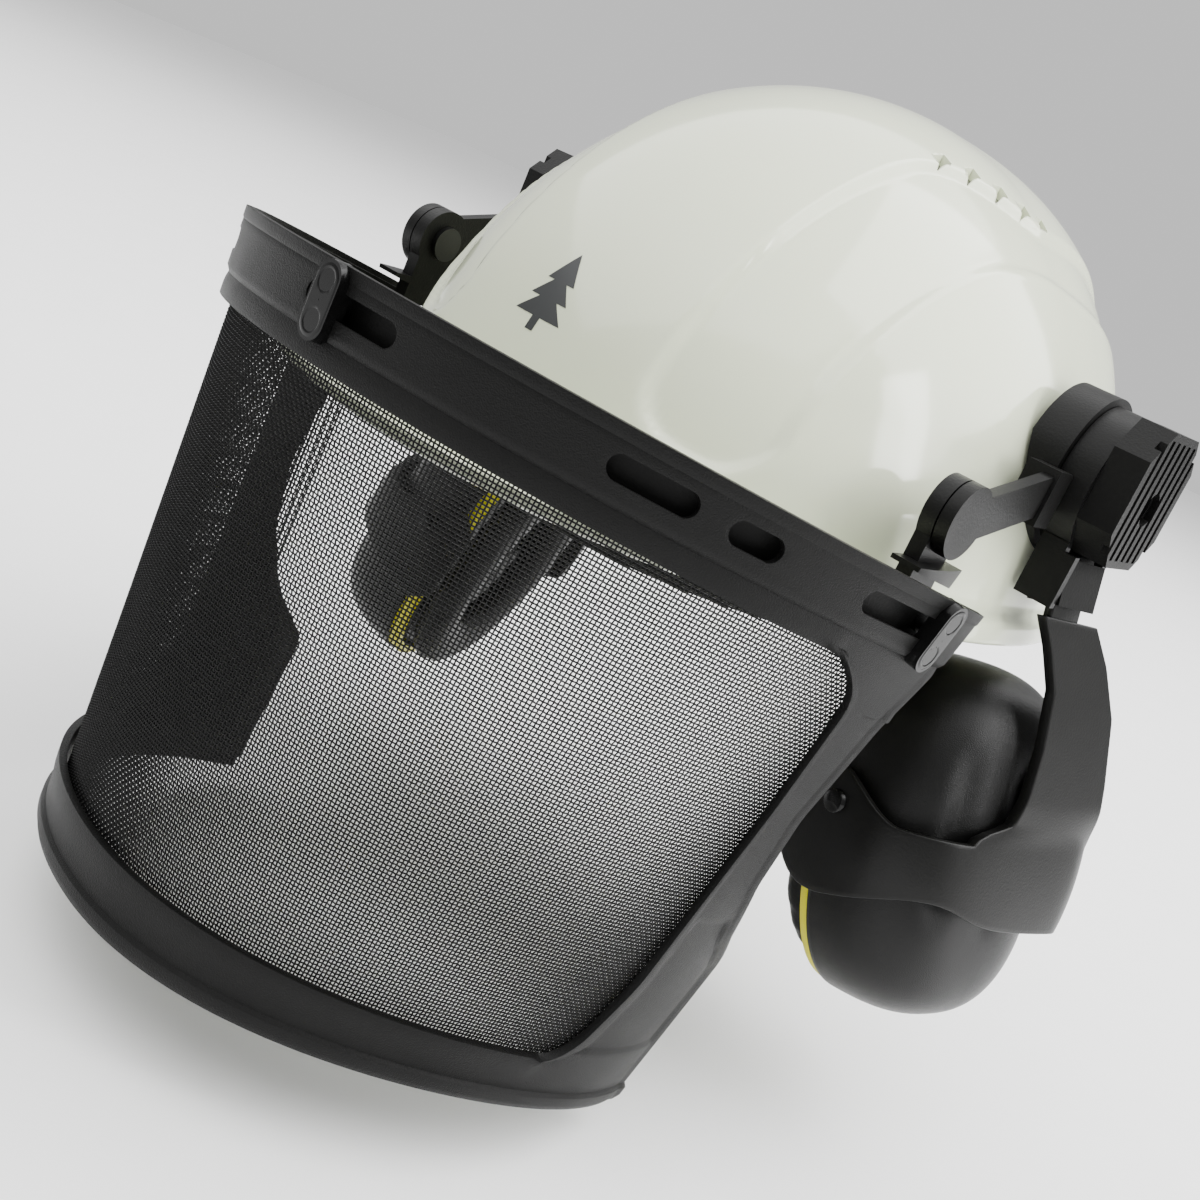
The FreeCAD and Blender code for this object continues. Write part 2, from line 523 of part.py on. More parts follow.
# ---------------------------------------------------------------- ear muffs
def make_mount_body(name, side):
    """The swivelling drum on the mount's hub, with two cheeks below it that take the hinge pin."""
    cheek_bottom = "mount_z - body_radius - cheek_drop"
    drum = rod(f"drum_{name}", ("flange_outer_x + running_gap", "mount_y", "mount_z"), "body_radius",
               "body_outer_x - flange_outer_x - running_gap", X_AXIS, side)
    hub_room = rod(f"drum_hub_room_{name}", ("flange_outer_x - 1", "mount_y", "mount_z"),
                   "shoulder_radius + pin_play", "9 - pin_play", X_AXIS, side)
    spring_room = rod(f"drum_spring_room_{name}", ("flange_outer_x + 7", "mount_y", "mount_z"),
                      "spring_radius + 0.6", 5, X_AXIS, side)
    cheeks = side_span(f"drum_cheeks_{name}", ("flange_outer_x + 2", "mount_y - cheek_reach", cheek_bottom),
                       ("body_outer_x", "mount_y + cheek_reach", "mount_z - body_radius + 6"), side)
    lugs = side_span(f"drum_lugs_{name}", ("flange_outer_x + 2", "mount_y - cheek_reach", cheek_bottom),
                     ("body_outer_x + 4", "mount_y + cheek_reach", "mount_z - body_radius + 3"), side)
    throat = side_span(f"drum_throat_{name}",
                       ("flange_outer_x - 5", "mount_y - throat_half", f"{cheek_bottom} - 5"),
                       ("body_outer_x + 10", "mount_y + throat_half", "mount_z - body_radius + 6"), side)
    pin_hole = in_muff(hinge_rod(f"drum_pin_hole_{name}", "hinge_pin_radius", "hinge_half + 4.5", side), side)
    solid = fuse(f"mount_body_solid_{name}", drum, cheeks, lugs)
    room = fuse(f"mount_body_room_{name}", hub_room, spring_room, throat, pin_hole)
    node(cut(f"mount_body_cut_{name}", solid, room), f"mount_body_{name}")


def make_mount_cap(name, side):
    """The octagonal ribbed cap, with a sunk hole for the screw's head."""
    block = side_span(f"cap_block_{name}",
                      ("body_outer_x", "mount_y - cap_flats / 2", "mount_z + cap_rise - cap_flats / 2"),
                      ("cap_outer_x", "mount_y + cap_flats / 2", "mount_z + cap_rise + cap_flats / 2"), side)
    turned = doc.addObject("Part::Box", f"cap_turned_{name}")
    turned.setExpression("Length", bound("cap_outer_x - body_outer_x"))
    turned.setExpression("Width", bound("cap_flats * 1.08"))
    turned.setExpression("Height", bound("cap_flats * 1.08"))
    x = "body_outer_x" if side == LEFT else "-cap_outer_x"
    place(turned, x, "mount_y", "mount_z + cap_rise - cap_flats * 1.08 / 2^0.5",
          FreeCAD.Rotation(FreeCAD.Vector(1, 0, 0), 45))
    grooves = []
    for index in range(-3, 4):
        middle_y = f"mount_y + {index} * 2.2 * cap_rib"
        grooves.append(side_span(f"cap_groove_{name}_{index + 3}",
                                 ("cap_outer_x - cap_rib_depth", f"{middle_y} - cap_rib / 2",
                                  "mount_z + cap_rise - 20"),
                                 ("cap_outer_x + 1", f"{middle_y} + cap_rib / 2", "mount_z + cap_rise + 20"),
                                 side))
    screw_room = rod(f"cap_screw_room_{name}", ("cap_outer_x - 9", "mount_y", "mount_z"), "screw_head + 0.4",
                     12, X_AXIS, side)
    screw_way = rod(f"cap_screw_way_{name}", ("body_outer_x - 2", "mount_y", "mount_z"), "screw_radius + 0.2",
                    14, X_AXIS, side)
    octagon = common(f"cap_octagon_{name}", block, turned)
    room = fuse(f"cap_room_{name}", screw_room, screw_way, *grooves)
    node(cut(f"mount_cap_cut_{name}", octagon, room), f"mount_cap_{name}")


def make_mount_screw(name, side):
    """The slotted screw that holds the mount together, and the spring under the cap."""
    head = rod(f"screw_head_{name}", ("cap_outer_x - 9", "mount_y", "mount_z"), "screw_head", 3, X_AXIS, side)
    shaft = rod(f"screw_shaft_{name}", ("flange_outer_x - 6", "mount_y", "mount_z"), "screw_radius",
                "cap_outer_x - 9 - flange_outer_x + 7", X_AXIS, side)
    recess = side_span(f"screw_slot_{name}", ("cap_outer_x - 7.5", "mount_y - 3.5", "mount_z - 0.6"),
                       ("cap_outer_x - 5", "mount_y + 3.5", "mount_z + 0.6"), side)
    screw = cut(f"mount_screw_cut_{name}", fuse(f"mount_screw_solid_{name}", head, shaft), recess)
    node(screw, f"mount_screw_{name}")
    coil = rod(f"spring_outer_{name}", ("flange_outer_x + 8.2", "mount_y", "mount_z"), "spring_radius", 2.4,
               X_AXIS, side)
    core = rod(f"spring_inner_{name}", ("flange_outer_x + 7.2", "mount_y", "mount_z"),
               "spring_radius - spring_wire", 8, X_AXIS, side)
    node(cut(f"mount_spring_cut_{name}", coil, core), f"mount_spring_{name}")


def hinge_rod(name, radius, half_length, side):
    """A rod on the muff's hinge line, in the muff's own frame."""
    item = doc.addObject("Part::Cylinder", name)
    item.setExpression("Radius", bound(radius))
    item.setExpression("Height", bound(f"2 * ({half_length})"))
    start = FreeCAD.Vector(side * number("hinge_local_x"), number(f"neck_y - ({half_length})"),
                           number("hinge_local_z"))
    item.Placement = FreeCAD.Placement(start, Y_AXIS)
    return item


def make_hinge(name, side):
    """The block that swings the arm out from the head, on a pin through the mount body's cheeks."""
    block = side_span(f"hinge_block_box_{name}",
                      ("hinge_local_x - 3", "neck_y - neck_width / 2 - 1.5", "block_low"),
                      ("cup_depth + yoke_gap + yoke_wall + 2.5", "neck_y + neck_width / 2 + 1.5",
                       "block_high"), side)
    barrel = hinge_rod(f"hinge_barrel_{name}", "hinge_pin_radius + 2.2", "neck_width / 2 + 1.5", side)
    way = side_span(f"hinge_way_{name}", ("cup_depth + yoke_gap - 0.1", "neck_y - neck_width / 2 - 0.1", 70),
                    ("cup_depth + yoke_gap + yoke_wall + 0.1", "neck_y + neck_width / 2 + 0.1", 120), side)
    hole = hinge_rod(f"hinge_hole_{name}", "hinge_pin_radius + pin_play", 30, side)
    solid = cut(f"hinge_block_cut_{name}", fuse(f"hinge_block_solid_{name}", block, barrel),
                fuse(f"hinge_block_room_{name}", way, hole))
    node(in_muff(solid, side), f"hinge_block_{name}")
    pin = hinge_rod(f"hinge_pin_rod_{name}", "hinge_pin_radius", "hinge_half + 4.5", side)
    node(in_muff(pin, side), f"hinge_pin_{name}")


def in_muff(item, side):
    """Puts an object from the muff's own frame at its place beside the head."""
    origin = FreeCAD.Vector(side * number("muff_x"), number("muff_y"), number("muff_z"))
    turn = FreeCAD.Rotation(-side * number("muff_toe"), -side * number("muff_splay"), 0)
    item.Placement = FreeCAD.Placement(origin, turn).multiply(item.Placement)
    return item


def bowl(name, depth, rounding, half_length, half_height, side):
    """Half an ellipsoid with its far end cut flat, mouth at the muff's origin."""
    solid = ellipsoid(name + "_round", (0, 0, 0), (rounding, half_length, half_height), turn=90 - 90 * side)
    zone = side_span(name + "_zone", (0, -80, -80), (depth, 80, 80), side)
    return common(name, solid, zone)


def make_cup(name, side):
    """The hollow cup with a boss and a bore for each of the yoke's pins."""
    outer = bowl(f"cup_outside_{name}", "cup_depth", "cup_round", "cup_half_length", "cup_half_height", side)
    inner = bowl(f"cup_inside_{name}", "cup_depth - cup_wall", "cup_round - cup_wall",
                 "cup_half_length - cup_wall", "cup_half_height - cup_wall", side)
    pin_z, pin_x = "yoke_pivot_z", f"{side} * yoke_pivot_x"
    bores = [rod(f"cup_bore_{name}_{index}", (pin_x, start, pin_z), "yoke_pin + pin_play", 14, Y_AXIS)
             for index, start in enumerate(("-cup_half_length - 8", "cup_half_length - 6"))]
    boss = [rod(f"cup_boss_{name}_{index}", (pin_x, start, pin_z), "yoke_pin + 2.4", 7, Y_AXIS)
            for index, start in enumerate(("-cup_half_length + 1", "cup_half_length - 8"))]
    shell = fuse(f"cup_with_bosses_{name}", cut(f"cup_hollow_{name}", outer, inner), *boss)
    cup = cut(f"ear_cup_cut_{name}", shell, fuse(f"cup_bores_{name}", *bores))
    node(in_muff(cup, side), f"ear_cup_{name}")


def make_cup_seal(name, side):
    """The coloured ring, the back plate, the cushion and the foam that fill the cup's mouth."""
    outline = ("cup_half_length + ring_proud", "cup_half_height + ring_proud")
    inset = ("cup_half_length - 3", "cup_half_height - 3")
    ear = ("ear_half_length", "ear_half_height")
    ring = oval_ring(f"seal_ring_solid_{name}", outline, inset, "-ring_wall", 0, side)
    node(in_muff(ring, side), f"seal_ring_{name}")
    plate = oval_ring(f"back_plate_solid_{name}", inset, ear, "-plate_wall", 0, side)
    node(in_muff(plate, side), f"cup_plate_{name}")
    pad = oval_ring(f"cushion_solid_{name}", ("cup_half_length + 0.5", "cup_half_height - 0.5"), ear,
                    "-ring_wall - cushion_wall", "-ring_wall", side)
    node(in_muff(pad, side), f"ear_cushion_{name}")
    foam = oval(f"foam_solid_{name}", "cup_half_length - 10", "cup_half_height - 12", "foam_start",
                "foam_start + foam_wall", side)
    node(in_muff(foam, side), f"foam_liner_{name}")


def yoke_bowl(name, offset, side):
    """The cup's outline grown by an offset."""
    return bowl(name, f"cup_depth + {offset}", f"cup_round + {offset}", f"cup_half_length + {offset}",
                f"cup_half_height + {offset}", side)


def pivot_rods(name, starts, length, side):
    """A pair of rods on the line of the yoke's pins, one in front of the cup and one behind it."""
    return [rod(f"{name}_{index}", (f"{side} * yoke_pivot_x", start, "yoke_pivot_z"), "yoke_pin", length,
                Y_AXIS) for index, start in enumerate(starts)]


def make_yoke(name, side):
    """The arm from the hinge down the cup's rear, widening into a band round its lower half."""
    skin = cut(f"yoke_skin_{name}", yoke_bowl(f"yoke_outside_{name}", "yoke_gap + yoke_wall", side),
               yoke_bowl(f"yoke_inside_{name}", "yoke_gap", side))
    belt = span(f"yoke_belt_zone_{name}", (-80, -80, "yoke_low"), (80, 80, "yoke_high"))
    band = common(f"yoke_belt_{name}", skin, belt)
    face = "cup_depth + yoke_gap"
    low, high = outward(face, f"{face} + yoke_wall", side)
    leg = side_prism(f"yoke_leg_{name}", [(-23, "leg_top"), (-8, 62), (-3, 30), (-18, 12), (-18, "yoke_low"),
                                          (28, "yoke_low"), (46, -3), (34, 51), (8, "leg_top")], low, high)
    neck = side_span(f"yoke_neck_{name}", (face, "neck_y - neck_width / 2", "leg_top - 4"),
                     (f"{face} + yoke_wall", "neck_y + neck_width / 2", "neck_top"), side)
    bores = pivot_rods(f"yoke_bore_{name}", ("-cup_half_length - 12", "cup_half_length"), 12, side)
    arm = cut(f"yoke_arm_cut_{name}", fuse(f"yoke_solid_{name}", band, leg, neck),
              fuse(f"yoke_bores_{name}", *bores))
    node(in_muff(arm, side), f"yoke_arm_{name}")
    pins = pivot_rods(f"yoke_pin_{name}", ("-cup_half_length - 6.5", "cup_half_length - 2.5"), 9, side)
    node(in_muff(fuse(f"yoke_pins_solid_{name}", *pins), side), f"yoke_pins_{name}")


shell_outside = make_shell()
make_headband()
make_cradle()
make_anchors(doc.getObject("dome_inside"))
make_ratchet()
make_visor()
make_buttons()
for side_name, side_sign in SIDES.items():
    make_mount_base(side_name, side_sign, shell_outside)
    make_visor_arm(side_name, side_sign)
    make_link(side_name, side_sign)
    make_mount_body(side_name, side_sign)
    make_mount_cap(side_name, side_sign)
    make_mount_screw(side_name, side_sign)
    make_hinge(side_name, side_sign)
    make_cup(side_name, side_sign)
    make_cup_seal(side_name, side_sign)
    make_yoke(side_name, side_sign)

doc.recompute()
failed = [item.Name for item in doc.Objects if "Invalid" in item.State or "Error" in item.State]
if failed:
    raise RuntimeError("failed objects: " + ", ".join(failed))
for item in NODES:
    if item.Shape.isNull() or not item.Shape.isValid() or not item.Shape.Solids:
        raise RuntimeError("bad shape: " + item.Label)
os.makedirs("parts", exist_ok=True)
for item in NODES:
    item.Shape.exportStep(f"parts/{item.Label}.step")
    print(f"{item.Label:24s} solids {len(item.Shape.Solids)}  volume {item.Shape.Volume / 1000:9.2f} cm3")
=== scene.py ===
"""Forestry helmet: the looks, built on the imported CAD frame.

Points are worked out in millimetres in the row frame (+Z up, -Y ahead, +X the wearer's left) and
written to the meshes in metres.
"""
import math

import bpy
import numpy as np
from mathutils import Matrix, Vector


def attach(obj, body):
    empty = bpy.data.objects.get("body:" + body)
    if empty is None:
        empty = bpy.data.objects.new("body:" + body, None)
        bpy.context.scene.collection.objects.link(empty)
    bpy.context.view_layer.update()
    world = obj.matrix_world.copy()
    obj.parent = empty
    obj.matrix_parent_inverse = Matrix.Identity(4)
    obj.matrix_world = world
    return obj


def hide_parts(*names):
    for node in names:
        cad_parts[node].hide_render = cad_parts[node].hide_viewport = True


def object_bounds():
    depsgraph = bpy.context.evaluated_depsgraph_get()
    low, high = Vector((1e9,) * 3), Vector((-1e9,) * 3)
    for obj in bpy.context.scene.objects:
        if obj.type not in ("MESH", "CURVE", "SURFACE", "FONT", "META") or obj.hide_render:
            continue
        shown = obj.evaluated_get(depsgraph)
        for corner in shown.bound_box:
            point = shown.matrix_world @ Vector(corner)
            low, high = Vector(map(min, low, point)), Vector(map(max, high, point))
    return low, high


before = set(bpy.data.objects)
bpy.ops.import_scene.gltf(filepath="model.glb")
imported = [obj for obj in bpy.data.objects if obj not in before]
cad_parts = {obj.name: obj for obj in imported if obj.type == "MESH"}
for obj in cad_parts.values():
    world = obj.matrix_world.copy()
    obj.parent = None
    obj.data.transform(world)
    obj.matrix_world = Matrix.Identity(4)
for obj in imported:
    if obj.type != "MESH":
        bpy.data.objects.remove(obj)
box_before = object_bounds()

LEFT, RIGHT = 1, -1
SIDES = (("left", LEFT), ("right", RIGHT))
MM = 0.001

# ---------------------------------------------------------------- sizes, in millimetres and degrees
DOME_MIDDLE = (0.0, 58.0, -13.0)
DOME_HALF_WIDTH, DOME_FRONT, DOME_REAR, DOME_RISE = 112.0, 160.0, 128.0, 140.0
DOME_WALL = 3.0
PANEL_DEPTH, FLANK_DEPTH = 2.3, 1.2
PEAK_RADIUS, PEAK_Y, PEAK_WALL = 110.0, -36.0, 2.6
VISOR_ORIGIN, VISOR_TILT = (0.0, -36.6, 6.2), 9.12
VISOR_RADIUS, VISOR_TAPER, VISOR_BOTTOM, VISOR_WAVE = 124.9, 0.127, 187.0, 4.8
VISOR_WALL = 2.4
WINDOW_TOP, WINDOW_BOTTOM, WINDOW_CORNER = 27.0, 168.5, 11.0
BUTTON_ANGLES = {"front": -3.0, "left": 86.0, "right": -86.0}
BUTTON_LEVEL = 11.6
MUFF_ORIGIN, MUFF_TOE, MUFF_SPLAY = (108.0, 66.0, -90.0), 15.0, 15.0
CUP_HALF_LENGTH, CUP_HALF_HEIGHT, CUP_CORNER = 43.0, 59.0, 2.5
CUP_EDGE, CUP_BULGE, CUP_WALL = 3.4, 33.2, 2.4
BLADE_X, BLADE_TOP, YOKE_WALL = 41.8, 82.0, 4.0
PIVOT_X, PIVOT_Z = 8.0, 8.0
MOUNT_Y, MOUNT_Z = 52.0, 43.0
HEAD_Y = 42.0
HEAD_HALF_WIDTH, HEAD_HALF_LENGTH, HEAD_RISE, HEAD_BASE = 87.3, 108.3, 97.3, -20.0


def smooth(low, high, value):
    """0 below low, 1 above high, with a soft step between."""
    t = np.clip((np.asarray(value, float) - low) / (high - low), 0, 1)
    return t * t * (3 - 2 * t)


def power(value, exponent):
    """A power that keeps the sign."""
    return np.sign(value) * np.abs(value) ** exponent


# ---------------------------------------------------------------- materials
BLOTCH_SCALE, SHINE_SCALE = 28.0, 60.0
GRAIN_HEIGHT, THREAD_HEIGHT = 0.6 * MM, 0.4 * MM


def tree(name):
    """A new node material with its nodes and links."""
    material = bpy.data.materials.new(name)
    material.use_nodes = True
    return material, material.node_tree.nodes, material.node_tree.links


def noise(nodes, links, scale, detail=3.0, coordinates=None):
    """A noise texture's output, in the object's own coordinates."""
    texture = nodes.new("ShaderNodeTexNoise")
    texture.inputs["Scale"].default_value = scale
    texture.inputs["Detail"].default_value = detail
    if coordinates is None:
        coordinates = nodes.new("ShaderNodeTexCoord").outputs["Object"]
    links.new(coordinates, texture.inputs["Vector"])
    return texture.outputs["Fac"]


def ramp(nodes, links, source, stops):
    """Turns a value into a colour through (position, colour) stops."""
    node = nodes.new("ShaderNodeValToRGB")
    links.new(source, node.inputs["Fac"])
    elements = node.color_ramp.elements
    while len(elements) < len(stops):
        elements.new(0.5)
    for element, (position, colour) in zip(elements, stops):
        element.position = position
        element.color = (*colour, 1)
    return node.outputs["Color"]


def plastic(name, colour, roughness, grain=900.0, depth=0.05, coat=0.0, blotch=0.12, spread=0.08,
            metallic=0.0, specular=0.5):
    """Moulded plastic, paint or metal: soft blotches in colour, uneven roughness and a fine grain."""
    material, nodes, links = tree(name)
    shader = nodes["Principled BSDF"]
    place = nodes.new("ShaderNodeTexCoord").outputs["Object"]
    dark = tuple(c * (1 - blotch) for c in colour)
    light = tuple(min(1, c * (1 + blotch)) for c in colour)
    broad = noise(nodes, links, BLOTCH_SCALE, 4.0, place)
    links.new(ramp(nodes, links, broad, ((0.3, dark), (0.7, light))), shader.inputs["Base Color"])
    fine = noise(nodes, links, grain, 2.0, place)
    rough = nodes.new("ShaderNodeMapRange")
    rough.inputs["To Min"].default_value = max(0.02, roughness - spread)
    rough.inputs["To Max"].default_value = min(1, roughness + spread)
    links.new(noise(nodes, links, SHINE_SCALE, 3.0, place), rough.inputs["Value"])
    links.new(rough.outputs["Result"], shader.inputs["Roughness"])
    bump = nodes.new("ShaderNodeBump")
    bump.inputs["Strength"].default_value = depth
    bump.inputs["Distance"].default_value = GRAIN_HEIGHT
    links.new(fine, bump.inputs["Height"])
    links.new(bump.outputs["Normal"], shader.inputs["Normal"])
    shader.inputs["Metallic"].default_value = metallic
    shader.inputs["Specular IOR Level"].default_value = specular
    shader.inputs["Coat Weight"].default_value = coat
    shader.inputs["Coat Roughness"].default_value = 0.06
    return material


def cloth(name, colour, thread=1500.0, depth=0.5):
    """Woven tape: two crossed wave textures colour and raise the threads."""
    material, nodes, links = tree(name)
    shader = nodes["Principled BSDF"]
    place = nodes.new("ShaderNodeTexCoord").outputs["Object"]
    waves = []
    for direction in ("X", "Y"):
        wave = nodes.new("ShaderNodeTexWave")
        wave.bands_direction = direction
        wave.inputs["Scale"].default_value = thread / 6.3
        wave.inputs["Distortion"].default_value = 1.2
        links.new(place, wave.inputs["Vector"])
        waves.append(wave.outputs["Fac"])
    both = nodes.new("ShaderNodeMath")
    both.operation = "MULTIPLY"
    links.new(waves[0], both.inputs[0])
    links.new(waves[1], both.inputs[1])
    dark = tuple(c * 0.55 for c in colour)
    shade = ramp(nodes, links, both.outputs["Value"], ((0.1, dark), (0.75, colour)))
    links.new(shade, shader.inputs["Base Color"])
    bump = nodes.new("ShaderNodeBump")
    bump.inputs["Strength"].default_value = depth
    bump.inputs["Distance"].default_value = THREAD_HEIGHT
    links.new(both.outputs["Value"], bump.inputs["Height"])
    links.new(bump.outputs["Normal"], shader.inputs["Normal"])
    shader.inputs["Roughness"].default_value = 0.85
    shader.inputs["Sheen Weight"].default_value = 0.3
    return material


def wire_paint(name, colour, roughness):
    """A thin wire's coat, kept plain because each wire is a few tenths of a millimetre thick."""
    material, nodes, links = tree(name)
    shader = nodes["Principled BSDF"]
    light = tuple(1.6 * c for c in colour)
    shade = ramp(nodes, links, noise(nodes, links, 40.0), ((0.3, colour), (0.7, light)))
    links.new(shade, shader.inputs["Base Color"])
    shader.inputs["Roughness"].default_value = roughness
    shader.inputs["Specular IOR Level"].default_value = 0.2
    return material


JET = (0.0040, 0.0040, 0.0038)
BLACK = (0.0050, 0.0050, 0.0050)
MATERIALS = {
    "shell": plastic("shell_gloss_white", (0.72, 0.765, 0.575), 0.13, 260.0, 0.01, 0.3, 0.012, 0.03),
    "visor": plastic("visor_grained_black", JET, 0.45, 2400.0, 0.45, blotch=0.2, spread=0.06, specular=0.13),
    "carrier": plastic("carrier_black", JET, 0.50, 1200.0, 0.20, blotch=0.2, spread=0.06, specular=0.12),
    "arm": plastic("arm_satin", (0.0050, 0.0050, 0.0048), 0.38, 1300.0, 0.18,
                   blotch=0.2, spread=0.06, specular=0.16),
    "mount": plastic("mount_satin_black", JET, 0.40, 1200.0, 0.16, blotch=0.2, spread=0.06, specular=0.16),
    "cap": plastic("cap_satin_charcoal", (0.0038, 0.0038, 0.0036), 0.42, 1300.0, 0.20,
                   blotch=0.2, spread=0.06, specular=0.12),
    "button": plastic("button_gloss_black", (0.0030, 0.0030, 0.0030), 0.24, 500.0, 0.02,
                      coat=0.05, blotch=0.1, spread=0.04, specular=0.16),
    "cup": plastic("cup_textured_black", (0.0035, 0.0035, 0.0033), 0.33, 2800.0, 0.30,
                   blotch=0.2, spread=0.05, specular=0.19),
    "label": plastic("label_smooth_grey", (0.06, 0.06, 0.058), 0.30, 500.0, 0.02,
                     blotch=0.1, spread=0.04, specular=0.3),
    "yoke": plastic("yoke_charcoal", (0.0045, 0.0045, 0.0042), 0.36, 1300.0, 0.12,
                    blotch=0.15, spread=0.06, specular=0.17),
    "ring": plastic("ring_yellow", (0.62, 0.58, 0.004), 0.38, 900.0, 0.06, blotch=0.06, specular=0.3),
    "cushion": plastic("cushion_vinyl", JET, 0.42, 700.0, 0.25, blotch=0.2, spread=0.06, specular=0.14),
    "foam": plastic("foam_grey", (0.022, 0.022, 0.023), 0.95, 420.0, 1.0, blotch=0.45),
    "harness": plastic("harness_black", BLACK, 0.48, 1100.0, 0.15, blotch=0.15, spread=0.06, specular=0.2),
    "clip": plastic("clip_olive", (0.20, 0.18, 0.11), 0.50, 1100.0, 0.12),
    "steel": plastic("pin_dark_steel", (0.05, 0.05, 0.05), 0.34, 700.0, 0.05, blotch=0.15, metallic=1.0),
    "spring": plastic("spring_bright_steel", (0.52, 0.52, 0.53), 0.25, 700.0, 0.03,
                      blotch=0.1, spread=0.05, metallic=1.0),
    "rubber": plastic("washer_rubber", BLACK, 0.75, 800.0, 0.2, blotch=0.2, spread=0.06, specular=0.2),
    "mark": plastic("mark_grey_ink", (0.024, 0.026, 0.027), 0.38, 600.0, 0.02),
    "webbing": cloth("webbing_tan", (0.26, 0.23, 0.15)),
    "sweatband": cloth("sweatband_tan", (0.30, 0.26, 0.17), 1100.0, 0.7),
    "wire": wire_paint("mesh_wire_black", BLACK, 0.42),
}


# ---------------------------------------------------------------- mesh helpers
def quads(rows, columns, closed=False, keep=None):
    """Quad faces of a rows by columns grid of points; closed joins the last column to the first."""
    faces = []
    for row in range(rows - 1):
        for column in range(columns if closed else columns - 1):
            if keep is not None and not keep(row, column):
                continue
            after = (column + 1) % columns
            faces.append((row * columns + column, row * columns + after,
                          (row + 1) * columns + after, (row + 1) * columns + column))
    return faces


def add(name, data):
    """A new object in the scene for a mesh, lamp or camera."""
    item = bpy.data.objects.new(name, data)
    bpy.context.scene.collection.objects.link(item)
    return item


def ring_angles(count):
    """Evenly spaced angles round a full turn, without its end."""
    return np.linspace(0, 2 * math.pi, count, endpoint=False)


def piece(name, body, points, faces, material, nodes, wall=0.0, bevel=0.0, flip=False, side=LEFT,
          offset=-1.0):
    """Makes a mesh object from points in millimetres, ties it to its CAD body and hides the CAD nodes it
    replaces.

    A wall grows against the faces' normals, or along them with an offset of 1; flip turns the faces over.
    """
    points = np.asarray(points, float).reshape(-1, 3) * (side, 1, 1)
    if flip != (side == RIGHT):
        faces = [tuple(reversed(face)) for face in faces]
    used = sorted({index for face in faces for index in face})
    number = {index: place for place, index in enumerate(used)}
    mesh = bpy.data.meshes.new(name)
    mesh.from_pydata([tuple(points[index] * MM) for index in used], [],
                     [tuple(number[index] for index in face) for face in faces])
    mesh.update()
    item = add(name, mesh)
    mesh.materials.append(MATERIALS[material])
    mesh.shade_smooth()
    if wall:
        solid = item.modifiers.new("wall", "SOLIDIFY")
        solid.thickness, solid.offset = wall * MM, offset
        solid.use_even_offset = True
    if bevel:
        soften(item, bevel)
    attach(item, body)
    if nodes:
        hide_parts(*nodes)
    return item


def soften(item, width, limit=32.0):
    """Rounds the sharp edges a little, so that they catch the light as moulded ones do."""
    edge = item.modifiers.new("edges", "BEVEL")
    edge.width, edge.segments = width * MM, 2
    edge.limit_method, edge.angle_limit = "ANGLE", math.radians(limit)


def bake(item):
    """Turns an object's modifiers into its mesh."""
    graph = bpy.context.evaluated_depsgraph_get()
    mesh = bpy.data.meshes.new_from_object(item.evaluated_get(graph))
    item.modifiers.clear()
    item.data = mesh


def tube(path, radius, sides):
    """Points and faces of an open-ended tube along a path of points."""
    path = np.asarray(path, float)
    ahead = np.roll(path, -1, 0) - np.roll(path, 1, 0)
    ahead[0], ahead[-1] = path[1] - path[0], path[-1] - path[-2]
    ahead /= np.linalg.norm(ahead, axis=1)[:, None]
    guide = np.where(np.abs(ahead[:, 2:3]) < 0.9, (0, 0, 1), (1, 0, 0))
    first = np.cross(ahead, guide)
    first /= np.linalg.norm(first, axis=1)[:, None]
    second = np.cross(ahead, first)
    angles = np.arange(sides) * 2 * math.pi / sides
    ring = (first[:, None] * np.cos(angles)[:, None] + second[:, None] * np.sin(angles)[:, None]) * radius
    return (path[:, None] + ring).reshape(-1, 3), quads(len(path), sides, True)


# ---------------------------------------------------------------- camera, light and floor
CAMERA_TURN, CAMERA_LIFT, CAMERA_ROLL = 32.56, 15.24, 24.24
CAMERA_PLACE = (0.26641, -0.42293, 0.07341)
LAMP_TARGET = (0.03, 0, -0.02)
LAMPS = (("key", (1.3, 1.2, 1.9), 2.4, 2.4, 105.0), ("overhead", (-0.3, -0.2, 2.4), 5.0, 5.0, 190.0),
         ("strip", (1.08, 0.28, 0.47), 0.26, 0.60, 7.0))
FLOOR_HALF, FLOOR_GAP = 6, 0.012


def make_camera():
    """The camera ahead of the wearer's left side, a little above and rolled over."""
    turn, lift, roll = (math.radians(angle) for angle in (CAMERA_TURN, CAMERA_LIFT, CAMERA_ROLL))
    right = Vector((math.cos(turn), math.sin(turn), 0))
    up = Vector((-math.sin(turn) * math.sin(lift), math.cos(turn) * math.sin(lift), math.cos(lift)))
    back = Vector((math.sin(turn) * math.cos(lift), -math.cos(turn) * math.cos(lift), math.sin(lift)))
    across = math.cos(roll) * right + math.sin(roll) * up
    upright = -math.sin(roll) * right + math.cos(roll) * up
    data = bpy.data.cameras.new("camera")
    data.lens, data.sensor_width = 45.1, 36.0
    data.clip_start = 0.01
    camera = add("camera", data)
    place = Matrix((across, upright, back)).transposed().to_4x4()
    place.translation = Vector(CAMERA_PLACE)
    camera.matrix_world = place
    bpy.context.scene.camera = camera


